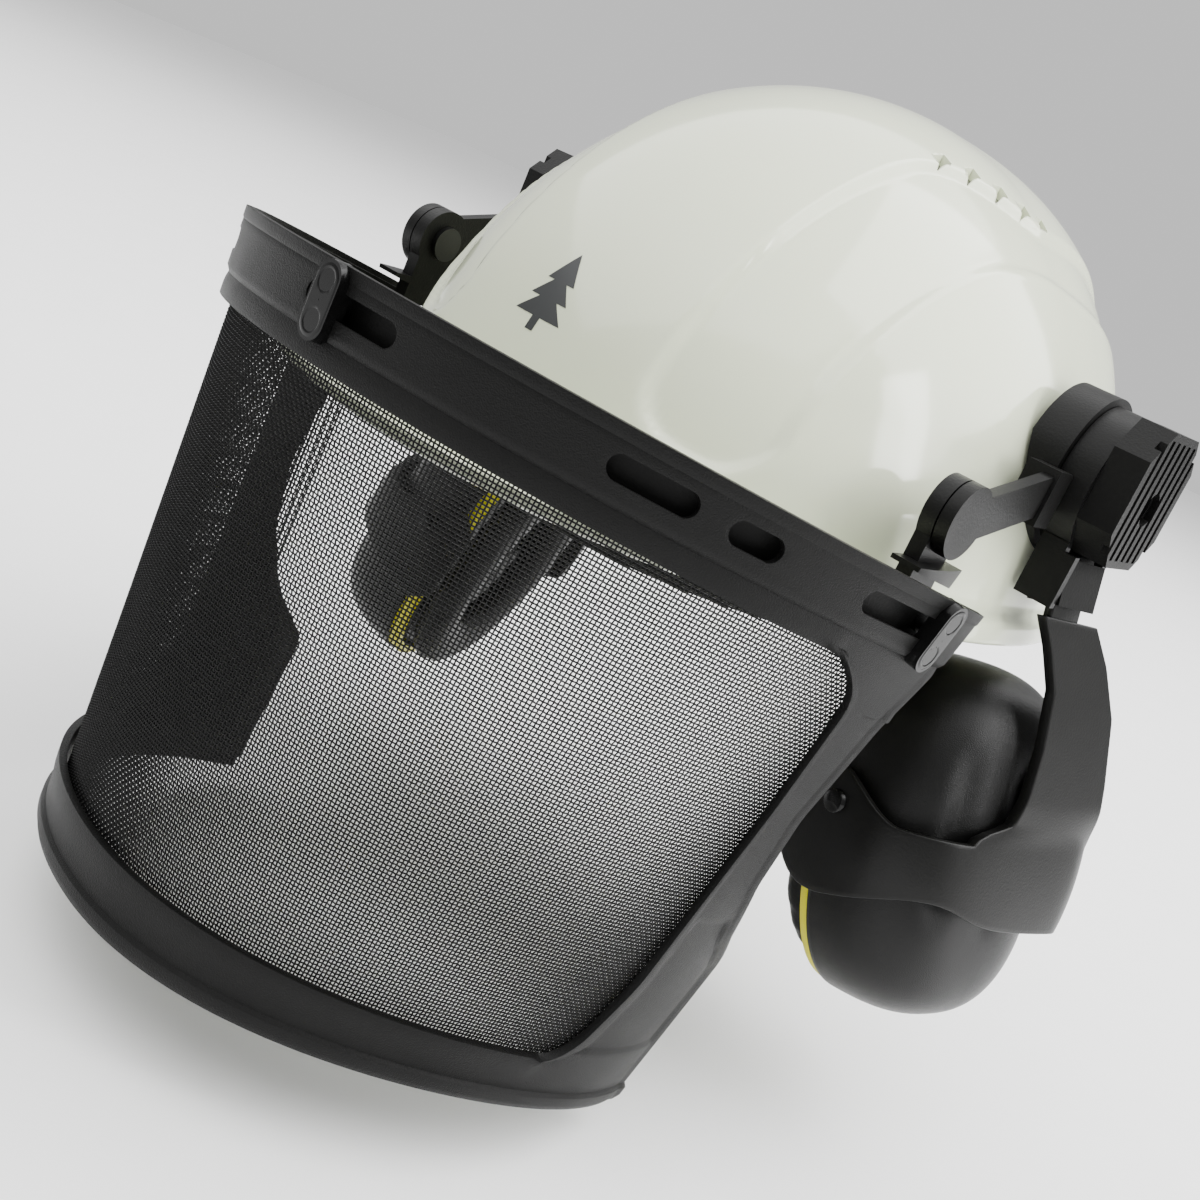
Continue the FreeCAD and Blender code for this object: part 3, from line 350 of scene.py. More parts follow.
def make_light():
    """A soft white room, a key light above and behind, a wide one overhead and a strip beside the flank."""
    world = bpy.data.worlds.new("studio")
    world.use_nodes = True
    sky = world.node_tree.nodes["Background"].inputs
    sky["Color"].default_value, sky["Strength"].default_value = (1.0, 1.0, 1.0, 1), 0.75
    bpy.context.scene.world = world
    for name, eye, wide, tall, energy in LAMPS:
        data = bpy.data.lights.new(name, "AREA")
        data.shape, data.energy, data.size, data.size_y = "RECTANGLE", energy, wide, tall
        lamp = add(name, data)
        lamp.location = eye
        lamp.rotation_euler = (Vector(LAMP_TARGET) - Vector(eye)).to_track_quat("-Z", "Y").to_euler()


def make_floor():
    """A wide white floor just under the helmet, for its soft shadow."""
    level, half = box_before[0][2] - FLOOR_GAP, FLOOR_HALF
    mesh = bpy.data.meshes.new("floor")
    mesh.from_pydata([(-half, -half, level), (half, -half, level), (half, half, level), (-half, half, level)],
                     [], [(0, 1, 2, 3)])
    floor = add("floor", mesh)
    mesh.materials.append(plastic("floor_white", (0.98, 0.98, 0.98), 0.8, 40.0, 0.02, 0.0, 0.01))


# ---------------------------------------------------------------- shell
def dome(turn, rise):
    """Points on the dome and their outward directions.

    turn runs from the front to the wearer's left, rise from the rim to the crown.
    """
    turn, rise = np.broadcast_arrays(np.asarray(turn, float), np.asarray(rise, float))
    rear = smooth(0.0, 1.0, -np.cos(turn))
    plan = 2.0 + 0.75 * rear
    section = 2.0 + 0.40 * rear
    reach = np.abs(np.cos(rise)) ** (2 / section)
    half_length = np.where(np.cos(turn) > 0, DOME_FRONT, DOME_REAR)
    x = DOME_HALF_WIDTH * reach * power(np.sin(turn), 2 / plan)
    y = DOME_MIDDLE[1] - half_length * reach * power(np.cos(turn), 2 / plan)
    z = DOME_MIDDLE[2] + DOME_RISE * np.sin(rise) ** (2 / section)
    base = np.stack((x, y, z), -1)
    outward = np.stack((x / DOME_HALF_WIDTH ** 2, (y - DOME_MIDDLE[1]) / half_length ** 2,
                        (z - DOME_MIDDLE[2]) / DOME_RISE ** 2), -1)
    outward /= np.linalg.norm(outward, axis=-1, keepdims=True) + 1e-12
    return base, outward


def crown_edge(y):
    """Distance of the crown band's edge from the middle plane."""
    return 36.0 + 20.0 * smooth(-5, 62, y)


def relief(points):
    """How far the outer face is sunk: a panel on each side between two creases, and the flanks below it."""
    x, y, z = np.abs(points[..., 0]), points[..., 1], points[..., 2]
    inner = x - crown_edge(y)
    outer = 70.0 + 4.0 * smooth(0, 90, y) - x
    lower = (z - 11.0) * 0.9 + 0.30 * (x - 45.0) * smooth(-60, -90, y)
    ahead = np.where(y < 20, lower, 40.0)
    corner = 12.0
    sides = np.stack((corner - inner, corner - outer, corner - ahead), -1)
    inside = corner - np.linalg.norm(np.maximum(sides, 0), axis=-1)
    sunk = smooth(-0.2, 2.6, inside) * smooth(160, 120, y)
    flank = smooth(3.0, -1.0, outer) * smooth(14, 40, z) * smooth(130, 90, y)
    return -PANEL_DEPTH * sunk - FLANK_DEPTH * flank * (1 - sunk)


def make_shell():
    """The dome with its rolled lip, creases, vents and mount slots, then the peak and the brow mark."""
    columns = 340
    turns = ring_angles(columns)
    rises = np.radians(np.concatenate(((0.0, 0.6, 1.2, 1.8, 2.4, 3.0), np.linspace(3.8, 89.4, 128))))
    points, outward = dome(turns[None, :], rises[:, None])
    lip = 3.0 * smooth(-4.6, -8.4, points[..., 2])
    points = points + outward * (relief(points) + lip)[..., None]
    lowest = [points[0] + outward[0] * grow + (0, 0, drop)
              for drop, grow in ((-2.7, -0.8), (-2.2, -0.2), (-1.2, 0.0))]
    points = np.concatenate((np.stack(lowest), points))
    rows = len(points)
    crown = points[-1].mean(0)
    points = np.concatenate((points.reshape(-1, 3), crown[None]))
    faces = quads(rows, columns, True)
    faces += [((rows - 1) * columns + i, (rows - 1) * columns + (i + 1) % columns, rows * columns)
              for i in range(columns)]
    shell = piece("shell_outer", "helmet", points, faces, "shell", ("shell",), wall=DOME_WALL)
    cut_openings(shell, vent_blocks() + slot_blocks())
    make_peak()
    make_mark()


def vent_blocks():
    """Five vents in a row on each side, just inside the crown band's edge: middle and size of each."""
    first_y, pitch, inset = 11.5, 12.5, 2.2
    rows = [first_y + pitch * index for index in range(5)]
    return [((side * (crown_edge(y) - inset), y, 112.0), (3.9, 6.6, 40.0))
            for side in (LEFT, RIGHT) for y in rows]


def slot_blocks():
    """The mount's slot on each side: middle and size."""
    return [((side * 108.0, MOUNT_Y, MOUNT_Z), (26.0, 33.0, 7.0)) for side in (LEFT, RIGHT)]


def cut_openings(item, blocks):
    """Cuts a set of upright blocks out of a piece, all at once."""
    points, faces = [], []
    for middle, size in blocks:
        start = len(points)
        for corner in range(8):
            signs = ((corner & 1) * 2 - 1, (corner >> 1 & 1) * 2 - 1, (corner >> 2 & 1) * 2 - 1)
            points.append([middle[axis] + signs[axis] * size[axis] / 2 for axis in range(3)])
        faces += [tuple(start + i for i in face) for face in
                  ((0, 2, 3, 1), (4, 5, 7, 6), (0, 1, 5, 4), (2, 6, 7, 3), (0, 4, 6, 2), (1, 3, 7, 5))]
    carve(item, points, faces)


def carve(item, points, faces):
    """Cuts the solid given by points and faces out of a piece."""
    mesh = bpy.data.meshes.new("cutter")
    mesh.from_pydata([tuple(MM * c for c in point) for point in points], [], faces)
    cutter = add("cutter", mesh)
    hole = item.modifiers.new("openings", "BOOLEAN")
    hole.object, hole.solver = cutter, "EXACT"
    bake(item)
    bpy.data.objects.remove(cutter)


def make_peak():
    """The short flat peak that fills the space between the dome's front and the visor's carrier."""
    turns = np.radians(np.linspace(-97, 97, 160))
    fractions = np.array((0.0, 0.06, 0.14, 0.25, 0.4, 0.55, 0.7, 0.82, 0.9, 0.94, 0.965, 0.985, 1.0))
    heights = np.array((-6.0, -9.0, -11.2, -12.4, -13.0, -13.0, -13.0, -13.0, -12.8, -11.8,
                        -10.6, -10.2, -10.6))
    sine, cosine = np.sin(turns), np.cos(turns)
    a = (sine / DOME_HALF_WIDTH) ** 2 + (cosine / DOME_FRONT) ** 2
    gap = (PEAK_Y - DOME_MIDDLE[1]) / DOME_FRONT
    b = -gap * cosine / DOME_FRONT
    inside, overlap = 0.985, 1.5
    start = (-b + np.sqrt(b * b - a * (gap * gap - inside))) / a - overlap
    reach = start[None, :] + (PEAK_RADIUS - start[None, :]) * fractions[:, None]
    heights = np.broadcast_to(heights[:, None], reach.shape)
    points = np.stack((reach * sine, PEAK_Y - reach * cosine, heights), -1)
    faces = quads(len(fractions), len(turns))
    piece("peak", "helmet", points, faces, "shell", (), wall=PEAK_WALL)


def make_mark():
    """A plain fir-tree mark on the brow."""
    tiers = ((0.0, 8.5, 9.0), (5.5, 6.8, 8.5), (11.0, 5.0, 9.0))
    outline = [((-half, bottom), (half, bottom), (0.0, bottom + tall)) for bottom, half, tall in tiers]
    outline += [((-1.4, -4.0), (1.4, -4.0), (1.4, 0.0)), ((-1.4, -4.0), (1.4, 0.0), (-1.4, 0.0))]
    points, faces, steps, foot_z, proud = [], [], 8, 26.0, 0.12
    for a, b, c in (np.array(corners) for corners in outline):
        index = {}
        for i in range(steps + 1):
            for j in range(steps + 1 - i):
                index[i, j] = len(points)
                x, z = a + (b - a) * i / steps + (c - a) * j / steps
                z += foot_z
                room = 1 - (x / DOME_HALF_WIDTH) ** 2 - ((z - DOME_MIDDLE[2]) / DOME_RISE) ** 2
                points.append((x, DOME_MIDDLE[1] - DOME_FRONT * math.sqrt(room) - proud, z))
        for i in range(steps):
            for j in range(steps - i):
                faces.append((index[i, j], index[i + 1, j], index[i, j + 1]))
                if i + j < steps - 1:
                    faces.append((index[i + 1, j], index[i + 1, j + 1], index[i, j + 1]))
    piece("brow_mark", "helmet", points, faces, "mark", ())


# ---------------------------------------------------------------- visor
LEAN = np.array(Matrix.Rotation(-math.radians(VISOR_TILT), 3, "X"))


def in_visor(points):
    """From the visor's own upright frame to the row frame."""
    return points @ LEAN.T + VISOR_ORIGIN


def on_cone(angle, level, outside):
    """Points a distance outside the visor's cone; the lower edge waves a few millimetres up and down."""
    angle, level, outside = np.broadcast_arrays(np.asarray(angle, float), np.asarray(level, float), outside)
    reach = VISOR_RADIUS - VISOR_TAPER * level + outside
    wave = np.cos(2.37 * np.clip(angle + 0.14, 0, None)) - 0.15
    drop = level + VISOR_WAVE * wave * (np.clip(level, 0, None) / VISOR_BOTTOM) ** 4
    return in_visor(np.stack((reach * np.sin(angle), -reach * np.cos(angle), -drop), -1))


def curve(stops, blur):
    """A smooth function near (level, y) stops, blurred along the level."""
    step, reach = 0.5, 30
    levels = np.arange(-20, 220, step)
    values = np.interp(levels, [s[0] for s in stops], [s[1] for s in stops])
    kernel = np.exp(-0.5 * (np.arange(-reach, reach + 1) * step / blur) ** 2)
    values = np.convolve(np.pad(values, reach, "edge"), kernel / kernel.sum(), "valid")
    return lambda level: np.interp(level, levels, values)


outer_edge = curve(((-10, 16), (2, 16), (20, 15), (42, 4), (75, -1), (99, 4), (120, 16), (135, 33), (141, 33),
                    (187, 28), (200, 28)), 1.6)
window_edge = curve(((0, -33), (24, -32), (38, -20), (75, -18), (138, -18), (165, -24), (200, -28)), 3.0)


def edge_angle(edge, level):
    """Angle round the cone at which an edge curve's y is reached."""
    return np.arccos(-edge(level) / (VISOR_RADIUS - VISOR_TAPER * level))


def window_angle(level):
    """Half angle of the window at a level, with its corners rounded."""
    near = np.minimum(level - WINDOW_TOP, WINDOW_BOTTOM - level)
    inside = np.clip(near, 0, WINDOW_CORNER)
    corner = WINDOW_CORNER - np.sqrt(WINDOW_CORNER ** 2 - (WINDOW_CORNER - inside) ** 2)
    return edge_angle(window_edge, np.clip(level, WINDOW_TOP, WINDOW_BOTTOM)) - corner / VISOR_RADIUS


def frame_levels():
    """Levels of the frame's rows, close together at its lips and at the window's rounded corners."""
    corner_top = 1 - np.cos(np.radians(np.linspace(8, 90, 14)))
    corner_bottom = 1 - np.cos(np.radians(np.linspace(90, 0, 14)))
    return np.concatenate((
        (1.6, 2.2, 3.2, 4.0, 4.5, 4.9, 5.3, 5.8), np.linspace(7, 17.6, 6), (18.2, 18.8, 19.4, 20.2),
        np.linspace(21.5, WINDOW_TOP - 1.6, 4), (WINDOW_TOP,), WINDOW_TOP + WINDOW_CORNER * corner_top,
        np.linspace(38, WINDOW_BOTTOM - WINDOW_CORNER, 84)[:-1],
        WINDOW_BOTTOM - WINDOW_CORNER * corner_bottom,
        (171.5, 173.5, 176, 179, 181.2, 182.0, 182.8, 184, 185.5, 186.4, 187)))


def frame_relief(level, from_outer, from_inner):
    """How proud the frame's face stands: band and rim lips, a groove, raised edges and sunk side panels."""
    proud = 1.1 * smooth(19.8, 18.2, level) + 1.2 * smooth(182.6, 184.2, level)
    proud -= 0.6 * smooth(185.6, 187.0, level)
    proud += 0.3 * smooth(4.7, 4.2, level) - 0.5 * np.exp(-((level - 5.0) / 0.45) ** 2)
    proud += 0.7 * smooth(4.2, 1.8, from_outer) * smooth(20, 24, level)
    proud += 0.6 * smooth(3.0, 1.0, from_inner) * smooth(20, 24, level) * smooth(178, 172, level)
    panel = smooth(5.5, 6.6, from_outer) * smooth(4.5, 5.6, from_inner) * (from_inner > 0)
    return proud - 0.9 * panel * smooth(112, 114, level) * smooth(166, 164, level)


def make_visor_frame():
    """One moulding of band, sides and rim round the window, with its slots."""
    wing, middle = 26, 132
    levels = frame_levels()
    outer, inner = edge_angle(outer_edge, levels), window_angle(levels)
    outer[-1] -= 0.004
    share = np.linspace(0, 1, wing)
    left = inner[:, None] + (outer - inner)[:, None] * share
    centre = inner[:, None] * np.linspace(-1, 1, middle)[None, 1:-1]
    angles = np.concatenate((-left[:, ::-1], centre, left), axis=1)
    level = np.broadcast_to(levels[:, None], angles.shape)
    reach = VISOR_RADIUS - VISOR_TAPER * level
    from_outer = (outer[:, None] - np.abs(angles)) * reach
    from_inner = (np.abs(angles) - inner[:, None]) * reach
    points = on_cone(angles, level, frame_relief(level, from_outer, from_inner))
    count = angles.shape[1]
    band = int(np.searchsorted(levels, WINDOW_TOP - 0.01))
    foot = int(np.searchsorted(levels, WINDOW_BOTTOM - 0.01))

    def keep(row, column):
        return not (band <= row < foot and wing - 1 <= column < count - wing)

    frame_piece = piece("visor_frame_moulding", "visor", points, quads(len(levels), count, keep=keep),
                        "visor", ("visor_frame",), wall=VISOR_WALL)
    carve_slots(frame_piece)
    soften(frame_piece, 0.35, 40)


def carve_slots(item):
    """Long and short slots in the band, as rounded blocks that point outwards."""
    points, faces = [], []
    count, end_radius, through = 24, 3.4, 12.0
    for start, stop in ((-7.4, 8), (70, 91), (-91, -70), (35, 46), (-46, -35), (50, 57), (-57, -50)):
        middle, half = math.radians((start + stop) / 2), math.radians((stop - start) / 2) * VISOR_RADIUS
        ring = []
        for step in range(count):
            angle = 2 * math.pi * step / count
            across = math.copysign(half - end_radius, math.cos(angle)) + end_radius * math.cos(angle)
            ring.append((middle + across / VISOR_RADIUS, BUTTON_LEVEL - end_radius * math.sin(angle)))
        near = len(points)
        far = near + count
        points += [on_cone(angle, level, reach) for reach in (-through, through) for angle, level in ring]
        faces += [(near + i, near + (i + 1) % count, far + (i + 1) % count, far + i) for i in range(count)]
        faces += [tuple(near + i for i in reversed(range(count))), tuple(far + i for i in range(count))]
    carve(item, points, faces)


def make_wires():
    """The woven mesh: every wire passes over and under the ones that cross it."""
    pitch, radius, sides = 1.16, 0.30, 3
    top, bottom, mid_level, widest = 18.0, 176.0, 95.0, 101
    depth, edge_margin = -1.3, 0.022
    rows = int((bottom - top) / pitch)
    reach = VISOR_RADIUS - VISOR_TAPER * mid_level
    half = int(math.radians(widest) * reach / pitch)
    levels = top + pitch * np.arange(rows)
    turns = np.arange(-half, half + 1) * pitch / reach
    limit = edge_angle(outer_edge, levels) - edge_margin
    weave = np.where((np.arange(rows)[:, None] + np.arange(len(turns))[None, :]) % 2, 1.0, -1.0)
    inside = np.abs(turns)[None, :] <= limit[:, None]
    across = on_cone(turns[None, :], levels[:, None], depth + radius * weave)
    down = on_cone(turns[None, :], levels[:, None], depth - radius * weave)
    halves = ((0, rows // 2), (rows // 2, rows))
    for name, (first, last) in zip(("weft_upper", "weft_lower"), halves):
        lines = [across[row][inside[row]] for row in range(first, last)]
        wires(name, lines, radius, sides)
    split = len(turns) // 2
    for name, (first, last) in zip(("warp_right", "warp_left"), ((0, split), (split, len(turns)))):
        lines = [down[:, column][inside[:, column]] for column in range(first, last)]
        wires(name, lines, radius, sides)


def wires(name, lines, radius, sides):
    """One piece made of many wires; the first one made stands for the CAD's mesh sheet."""
    points, faces = [], []
    start = 0
    for line in lines:
        if len(line) < 3:
            continue
        some, more = tube(line, radius, sides)
        points.append(some)
        faces += [tuple(start + index for index in face) for face in more]
        start += len(some)
    nodes = ("visor_mesh",) if name == "weft_upper" else ()
    piece("mesh_" + name, "visor", np.concatenate(points), faces, "wire", nodes)


def stadium(half_wide, half_long, fraction, count):
    """A ring of points of a bar with round ends, at a fraction of its size."""
    angles = np.arange(count) * 2 * math.pi / count
    across = half_wide * np.cos(angles)
    along = half_wide * np.sin(angles) + (half_long - half_wide) * np.sign(np.sin(angles))
    side = 0.25
    straight = np.abs(np.sin(angles)) < side
    along = np.where(straight, np.sin(angles) / side * (half_long - half_wide + side * half_wide), along)
    return across * fraction, along * fraction


def make_buttons():
    """Tops of the turn buttons, with two moulded recesses each, on the CAD's shaft and foot.

    The left and middle ones stand upright; the right one lies along its slot.
    """
    half_wide, half_long, count, dent_middle = 4.75, 10.5, 96, 5.2
    profile = [(0.93, 1.5), (0.99, 1.6), (1.0, 2.2), (1.0, 5.4), (0.97, 6.1), (0.91, 6.5)]
    profile += [(size, 6.65) for size in np.linspace(0.84, 0.02, 18)]
    reach = VISOR_RADIUS - VISOR_TAPER * BUTTON_LEVEL
    beta = math.atan(VISOR_TAPER)
    for key, angle in BUTTON_ANGLES.items():
        turn = math.radians(angle)
        sine, cosine = math.sin(turn), math.cos(turn)
        outward = np.array((sine * math.cos(beta), -cosine * math.cos(beta), -math.sin(beta)))
        across = np.array((cosine, sine, 0.0))
        upward = np.cross(across, outward)
        if key == "right":
            across, upward = upward, across
        seat = np.array((reach * sine, -reach * cosine, -BUTTON_LEVEL))
        points = []
        for size, height in profile:
            a, b = stadium(half_wide, half_long, size, count)
            from_dent = np.hypot(a, np.abs(b) - dent_middle)
            dent = smooth(3.0, 2.2, from_dent) * (0.9 + 0.8 * smooth(1.3, 0.9, from_dent) * (b < 0))
            points.append(seat + np.outer(a, across) + np.outer(b, upward) + np.outer(height - dent, outward))
        points = in_visor(np.concatenate(points))
        faces = quads(len(profile), count, True)
        piece(f"turn_button_{key}_top", f"button_{key}", points, faces, "button", (),
              flip=key != "right")
        dress(f"turn_button_{key}", "button", 0.3)


# ---------------------------------------------------------------- ear muffs
def in_muff(points):
    """From the left muff's own frame to the row frame."""
    toe, splay = math.radians(-MUFF_TOE), math.radians(-MUFF_SPLAY)
    turn = Matrix.Rotation(toe, 3, "Z") @ Matrix.Rotation(splay, 3, "Y")
    return np.asarray(points, float) @ np.array(turn).T + MUFF_ORIGIN


def oval_ring(half_length, half_height, angles, corner=2.25):
    """y and z of an oval, which is squarer with a larger corner."""
    return half_length * power(np.cos(angles), 2 / corner), half_height * power(np.sin(angles), 2 / corner)


def cup_depth(y, z):
    """How far out the cup's skin lies: round to front and rear, boxy at top and bottom, with two flutes."""
    a, b = np.abs(y) / CUP_HALF_LENGTH, np.abs(z) / CUP_HALF_HEIGHT
    spread = (a ** CUP_CORNER + b ** CUP_CORNER) ** (1 / CUP_CORNER)
    upright = b ** 2 / (a ** 2 + b ** 2 + 1e-9)
    x = CUP_EDGE + CUP_BULGE * np.clip(1 - spread ** (3.6 + 4.0 * upright), 0, 1) ** (0.46 - 0.09 * upright)
    flutes = sum(np.exp(-((y - middle) / 5.0) ** 2) for middle in (-24.0, 2.0))
    return x - 1.8 * flutes * smooth(-30, -8, z) * smooth(40, 24, z) * smooth(8, 24, x)


def make_cup(name, side):
    """The cup, whose wall grows outwards from its skin, and the yellow band round its rim."""
    count = 160
    angles = ring_angles(count)
    spread = np.concatenate(((1.0, 1.0, 1.0), np.sin(np.radians(np.linspace(89, 0.6, 72)))))
    y, z = oval_ring(CUP_HALF_LENGTH, CUP_HALF_HEIGHT, angles, CUP_CORNER)
    y, z = spread[:, None] * y, spread[:, None] * z
    x = cup_depth(y, z)
    x[:3] = np.array((0.0, 1.6, 3.0))[:, None]
    points, faces = in_muff(np.stack((x, y, z), -1)), quads(len(spread), count, True)
    piece(f"cup_shell_{name}", f"cup_{name}", points, faces, "cup", (f"ear_cup_{name}",),
          wall=CUP_WALL, side=side, flip=True)
    depths, grows = zip((0.9, -2.4), (0.9, 0.8), (0.4, 1.4), (-3.9, 1.4), (-4.5, 0.8), (-4.5, -2.4))
    rings = [oval_ring(CUP_HALF_LENGTH + grow, CUP_HALF_HEIGHT + grow, angles, CUP_CORNER) for grow in grows]
    y, z = zip(*rings)
    x = np.broadcast_to(np.array(depths)[:, None], np.shape(y))
    points, faces = in_muff(np.stack((x, y, z), -1)), quads(len(rings), count, True)
    piece(f"seal_band_{name}", f"cup_{name}", points, faces, "ring", (f"seal_ring_{name}",),
          side=side)


def make_cup_label(name, side):
    """A plain thin label on the cup's skin, which the cup's wall covers."""
    columns, rows = 26, 18
    middle_y, half_y, middle_z, half_z = -13.0, 8.5, 46.0, 5.5
    v, u = np.meshgrid(np.linspace(-1, 1, rows), np.linspace(-1, 1, columns), indexing="ij")
    square = np.maximum(np.abs(u), np.abs(v))
    round_off = square / np.maximum((np.abs(u) ** 8 + np.abs(v) ** 8) ** (1 / 8), 1e-9)
    y, z = middle_y + half_y * u * round_off, middle_z + half_z * v * round_off
    x = cup_depth(y, z) + 0.12 - 0.25 * smooth(0.94, 1.0, square)
    points = in_muff(np.stack((x, y, z), -1))
    piece(f"cup_label_{name}", f"cup_{name}", points, quads(rows, columns), "label", (),
          side=side, flip=True)


def yoke_skin(angle, z):
    """The yoke's inner face: an oval bowl in front, boxy behind, flattened where the blade stands."""
    shrink = np.sqrt(np.clip(1 - (z / 66.0) ** 2, 0.05, 1))
    box = 2.3 + 1.9 * smooth(0, 35, np.degrees(angle))
    x = 50.0 * shrink * power(np.cos(angle), 2 / box)
    y = 48.0 * shrink * power(np.sin(angle), 2 / box)
    ahead = np.clip(x, 1e-6, None)
    return np.where(x > 0, (ahead ** -9 + BLADE_X ** -9) ** (-1 / 9), x), y


def yoke_foot(angles, rows):
    """Grid of points on the foot's inner face, lowest row first."""
    turned = np.degrees(angles)
    ends = np.clip((np.abs(turned) - 80) / 19, 0, 1)
    half = 1 - ends ** 3 * 0.45
    low = -23.0 + 9.0 * np.exp(-((turned + 42) / 30) ** 2)
    low = low - 1.5 * smooth(75, 99, -turned) + 7.0 * smooth(52, 95, turned)
    high = 6.0 + 15.0 * smooth(58, 92, np.abs(turned))
    middle = 0.5 * (low + high)
    low, high = middle + (low - middle) * half, middle + (high - middle) * half
    z = low[None, :] + (high - low)[None, :] * np.linspace(0, 1, rows)[:, None]
    x, y = yoke_skin(angles[None, :] * np.ones_like(z), z)
    return np.stack((x, y, z), -1)


def yoke_blade(base, rows):
    """Grid of points on the blade's inner face, going up from a row of the foot's points."""
    front_z, front_y = (6, 7.2, 9.5, 14, 24, 40, 59, 72, 82), (-21.8, -16, -11, -7, -4.2, -3.5, -6, -14, -22)
    rear_z, rear_y = (9, 20, 30, 53, 70, 82), (43, 41, 39, 32, 20, 8)
    part = np.linspace(0, 1, len(base))
    blade = []
    for step in range(1, rows + 1):
        t = step / rows
        height = base[:, 2] * (1 - t) + BLADE_TOP * t
        front, rear = np.interp(height, front_z, front_y), np.interp(height, rear_z, rear_y)
        along = front + (rear - front) * part
        flat, straight = smooth(0, 0.22, t), smooth(0, 0.1, t)
        blade.append(np.stack((base[:, 0] * (1 - flat) + BLADE_X * flat,
                               base[:, 1] * (1 - straight) + along * straight, height), -1))
    return np.stack(blade)


def make_yoke(name, side):
    """Blade and foot in one moulding: the blade comes down from the hinge, the foot wraps round the cup."""
    columns, feet, tall, blade_from, blade_to = 96, 16, 40, -27, 50
    angles = np.radians(np.linspace(-99, 99, columns))
    foot = yoke_foot(angles, feet)
    first, last = (int(np.searchsorted(np.degrees(angles), stop)) for stop in (blade_from, blade_to))
    blade = yoke_blade(foot[-1, first:last + 1], tall)
    points = np.concatenate((foot.reshape(-1, 3), blade.reshape(-1, 3)))
    faces = quads(feet, columns)
    width = last - first + 1
    start = feet * columns
    for row in range(tall):
        for column in range(width - 1):
            lower = start - columns + first + column if row == 0 else start + (row - 1) * width + column
            upper = start + row * width + column
            faces.append((lower, lower + 1, upper + 1, upper))
    item = piece(f"yoke_moulding_{name}", f"arm_{name}", in_muff(points), faces, "yoke",
                 (f"yoke_arm_{name}",), wall=YOKE_WALL, side=side, offset=1.0)
    soften(item, 0.9, 40)
    make_pin_head(name, side)
    neck_x, neck_y, neck_z = (42.0, 45.4), (-19.0, -3.0), (78.0, 103.0)
    corners = [(x, y, z) for x in neck_x for y in neck_y for z in neck_z]
    faces = [(0, 1, 3, 2), (4, 6, 7, 5), (0, 4, 5, 1), (2, 3, 7, 6), (0, 2, 6, 4), (1, 5, 7, 3)]
    piece(f"yoke_neck_{name}", f"arm_{name}", in_muff(corners), faces, "yoke", (),
          side=side, bevel=0.8)


def make_pin_head(name, side):
    """Round head of the front pivot pin, on the foot's front end."""
    sides, radius = 28, 4.0
    points, faces = tube([(PIVOT_X, y, PIVOT_Z) for y in (-49.0, -52.9, -53.3)], radius, sides)
    middle = (PIVOT_X, 0, PIVOT_Z)
    points[-sides:] = (points[-sides:] - middle) * (0.85, 1, 0.85) + middle
    faces.append(tuple(range(len(points) - sides, len(points))))
    piece(f"yoke_pin_head_{name}", f"arm_{name}", in_muff(points), faces, "button", (),
          side=side)


def swell(item, pressure, cap):
    """Swells a padded piece with a short cloth simulation, then caps how far any point has moved."""
    steps = 20
    remesh = item.modifiers.new("even", "REMESH")
    remesh.mode, remesh.voxel_size = "VOXEL", 4.2 * MM
    bake(item)
    rest = np.empty(len(item.data.vertices) * 3)
    item.data.vertices.foreach_get("co", rest)
    sim = item.modifiers.new("swell", "CLOTH")
    settings = sim.settings
    settings.quality, settings.mass = 5, 0.15
    settings.tension_stiffness = settings.compression_stiffness = 40
    settings.use_pressure, settings.uniform_pressure_force = True, pressure
    settings.effector_weights.gravity = 0
    scene = bpy.context.scene
    for step in range(1, steps + 1):
        scene.frame_set(step)
    bake(item)
    scene.frame_set(1)
    moved = np.empty(len(item.data.vertices) * 3)
    item.data.vertices.foreach_get("co", moved)
    shift = (moved - rest).reshape(-1, 3)
    length = np.linalg.norm(shift, axis=1, keepdims=True)
    shift *= np.minimum(1, cap / np.maximum(length, 1e-9))
    item.data.vertices.foreach_set("co", (rest.reshape(-1, 3) + shift).reshape(-1))
    item.data.update()


def make_cushion(name, side):
    """The sealing cushion: a fat padded ring in vinyl."""
    count, around = 96, 20
    angles = ring_angles(count)
    outer, inner = oval_ring(42.0, 57.0, angles), oval_ring(21.5, 32.5, angles)
    section = np.arange(around) * 2 * math.pi / around
    across = 0.5 + 0.5 * power(np.cos(section), 0.75)
    thick = -11.4 + 6.9 * power(np.sin(section), 0.75)
    y = inner[0][:, None] + (outer[0] - inner[0])[:, None] * across
    z = inner[1][:, None] + (outer[1] - inner[1])[:, None] * across
    x = np.broadcast_to(thick, y.shape)
    faces = quads(count, around, True)
    last = (count - 1) * around
    faces += [(last + i, last + (i + 1) % around, (i + 1) % around, i) for i in range(around)]
    item = piece(f"cushion_{name}", f"cup_{name}", in_muff(np.stack((x, y, z), -1)), faces, "cushion",
                 (f"ear_cushion_{name}",), side=side)
    swell(item, 60.0, 1.2 * MM)
    item.modifiers.new("round", "SUBSURF").levels = 1
    bake(item)
    item.data.shade_smooth()


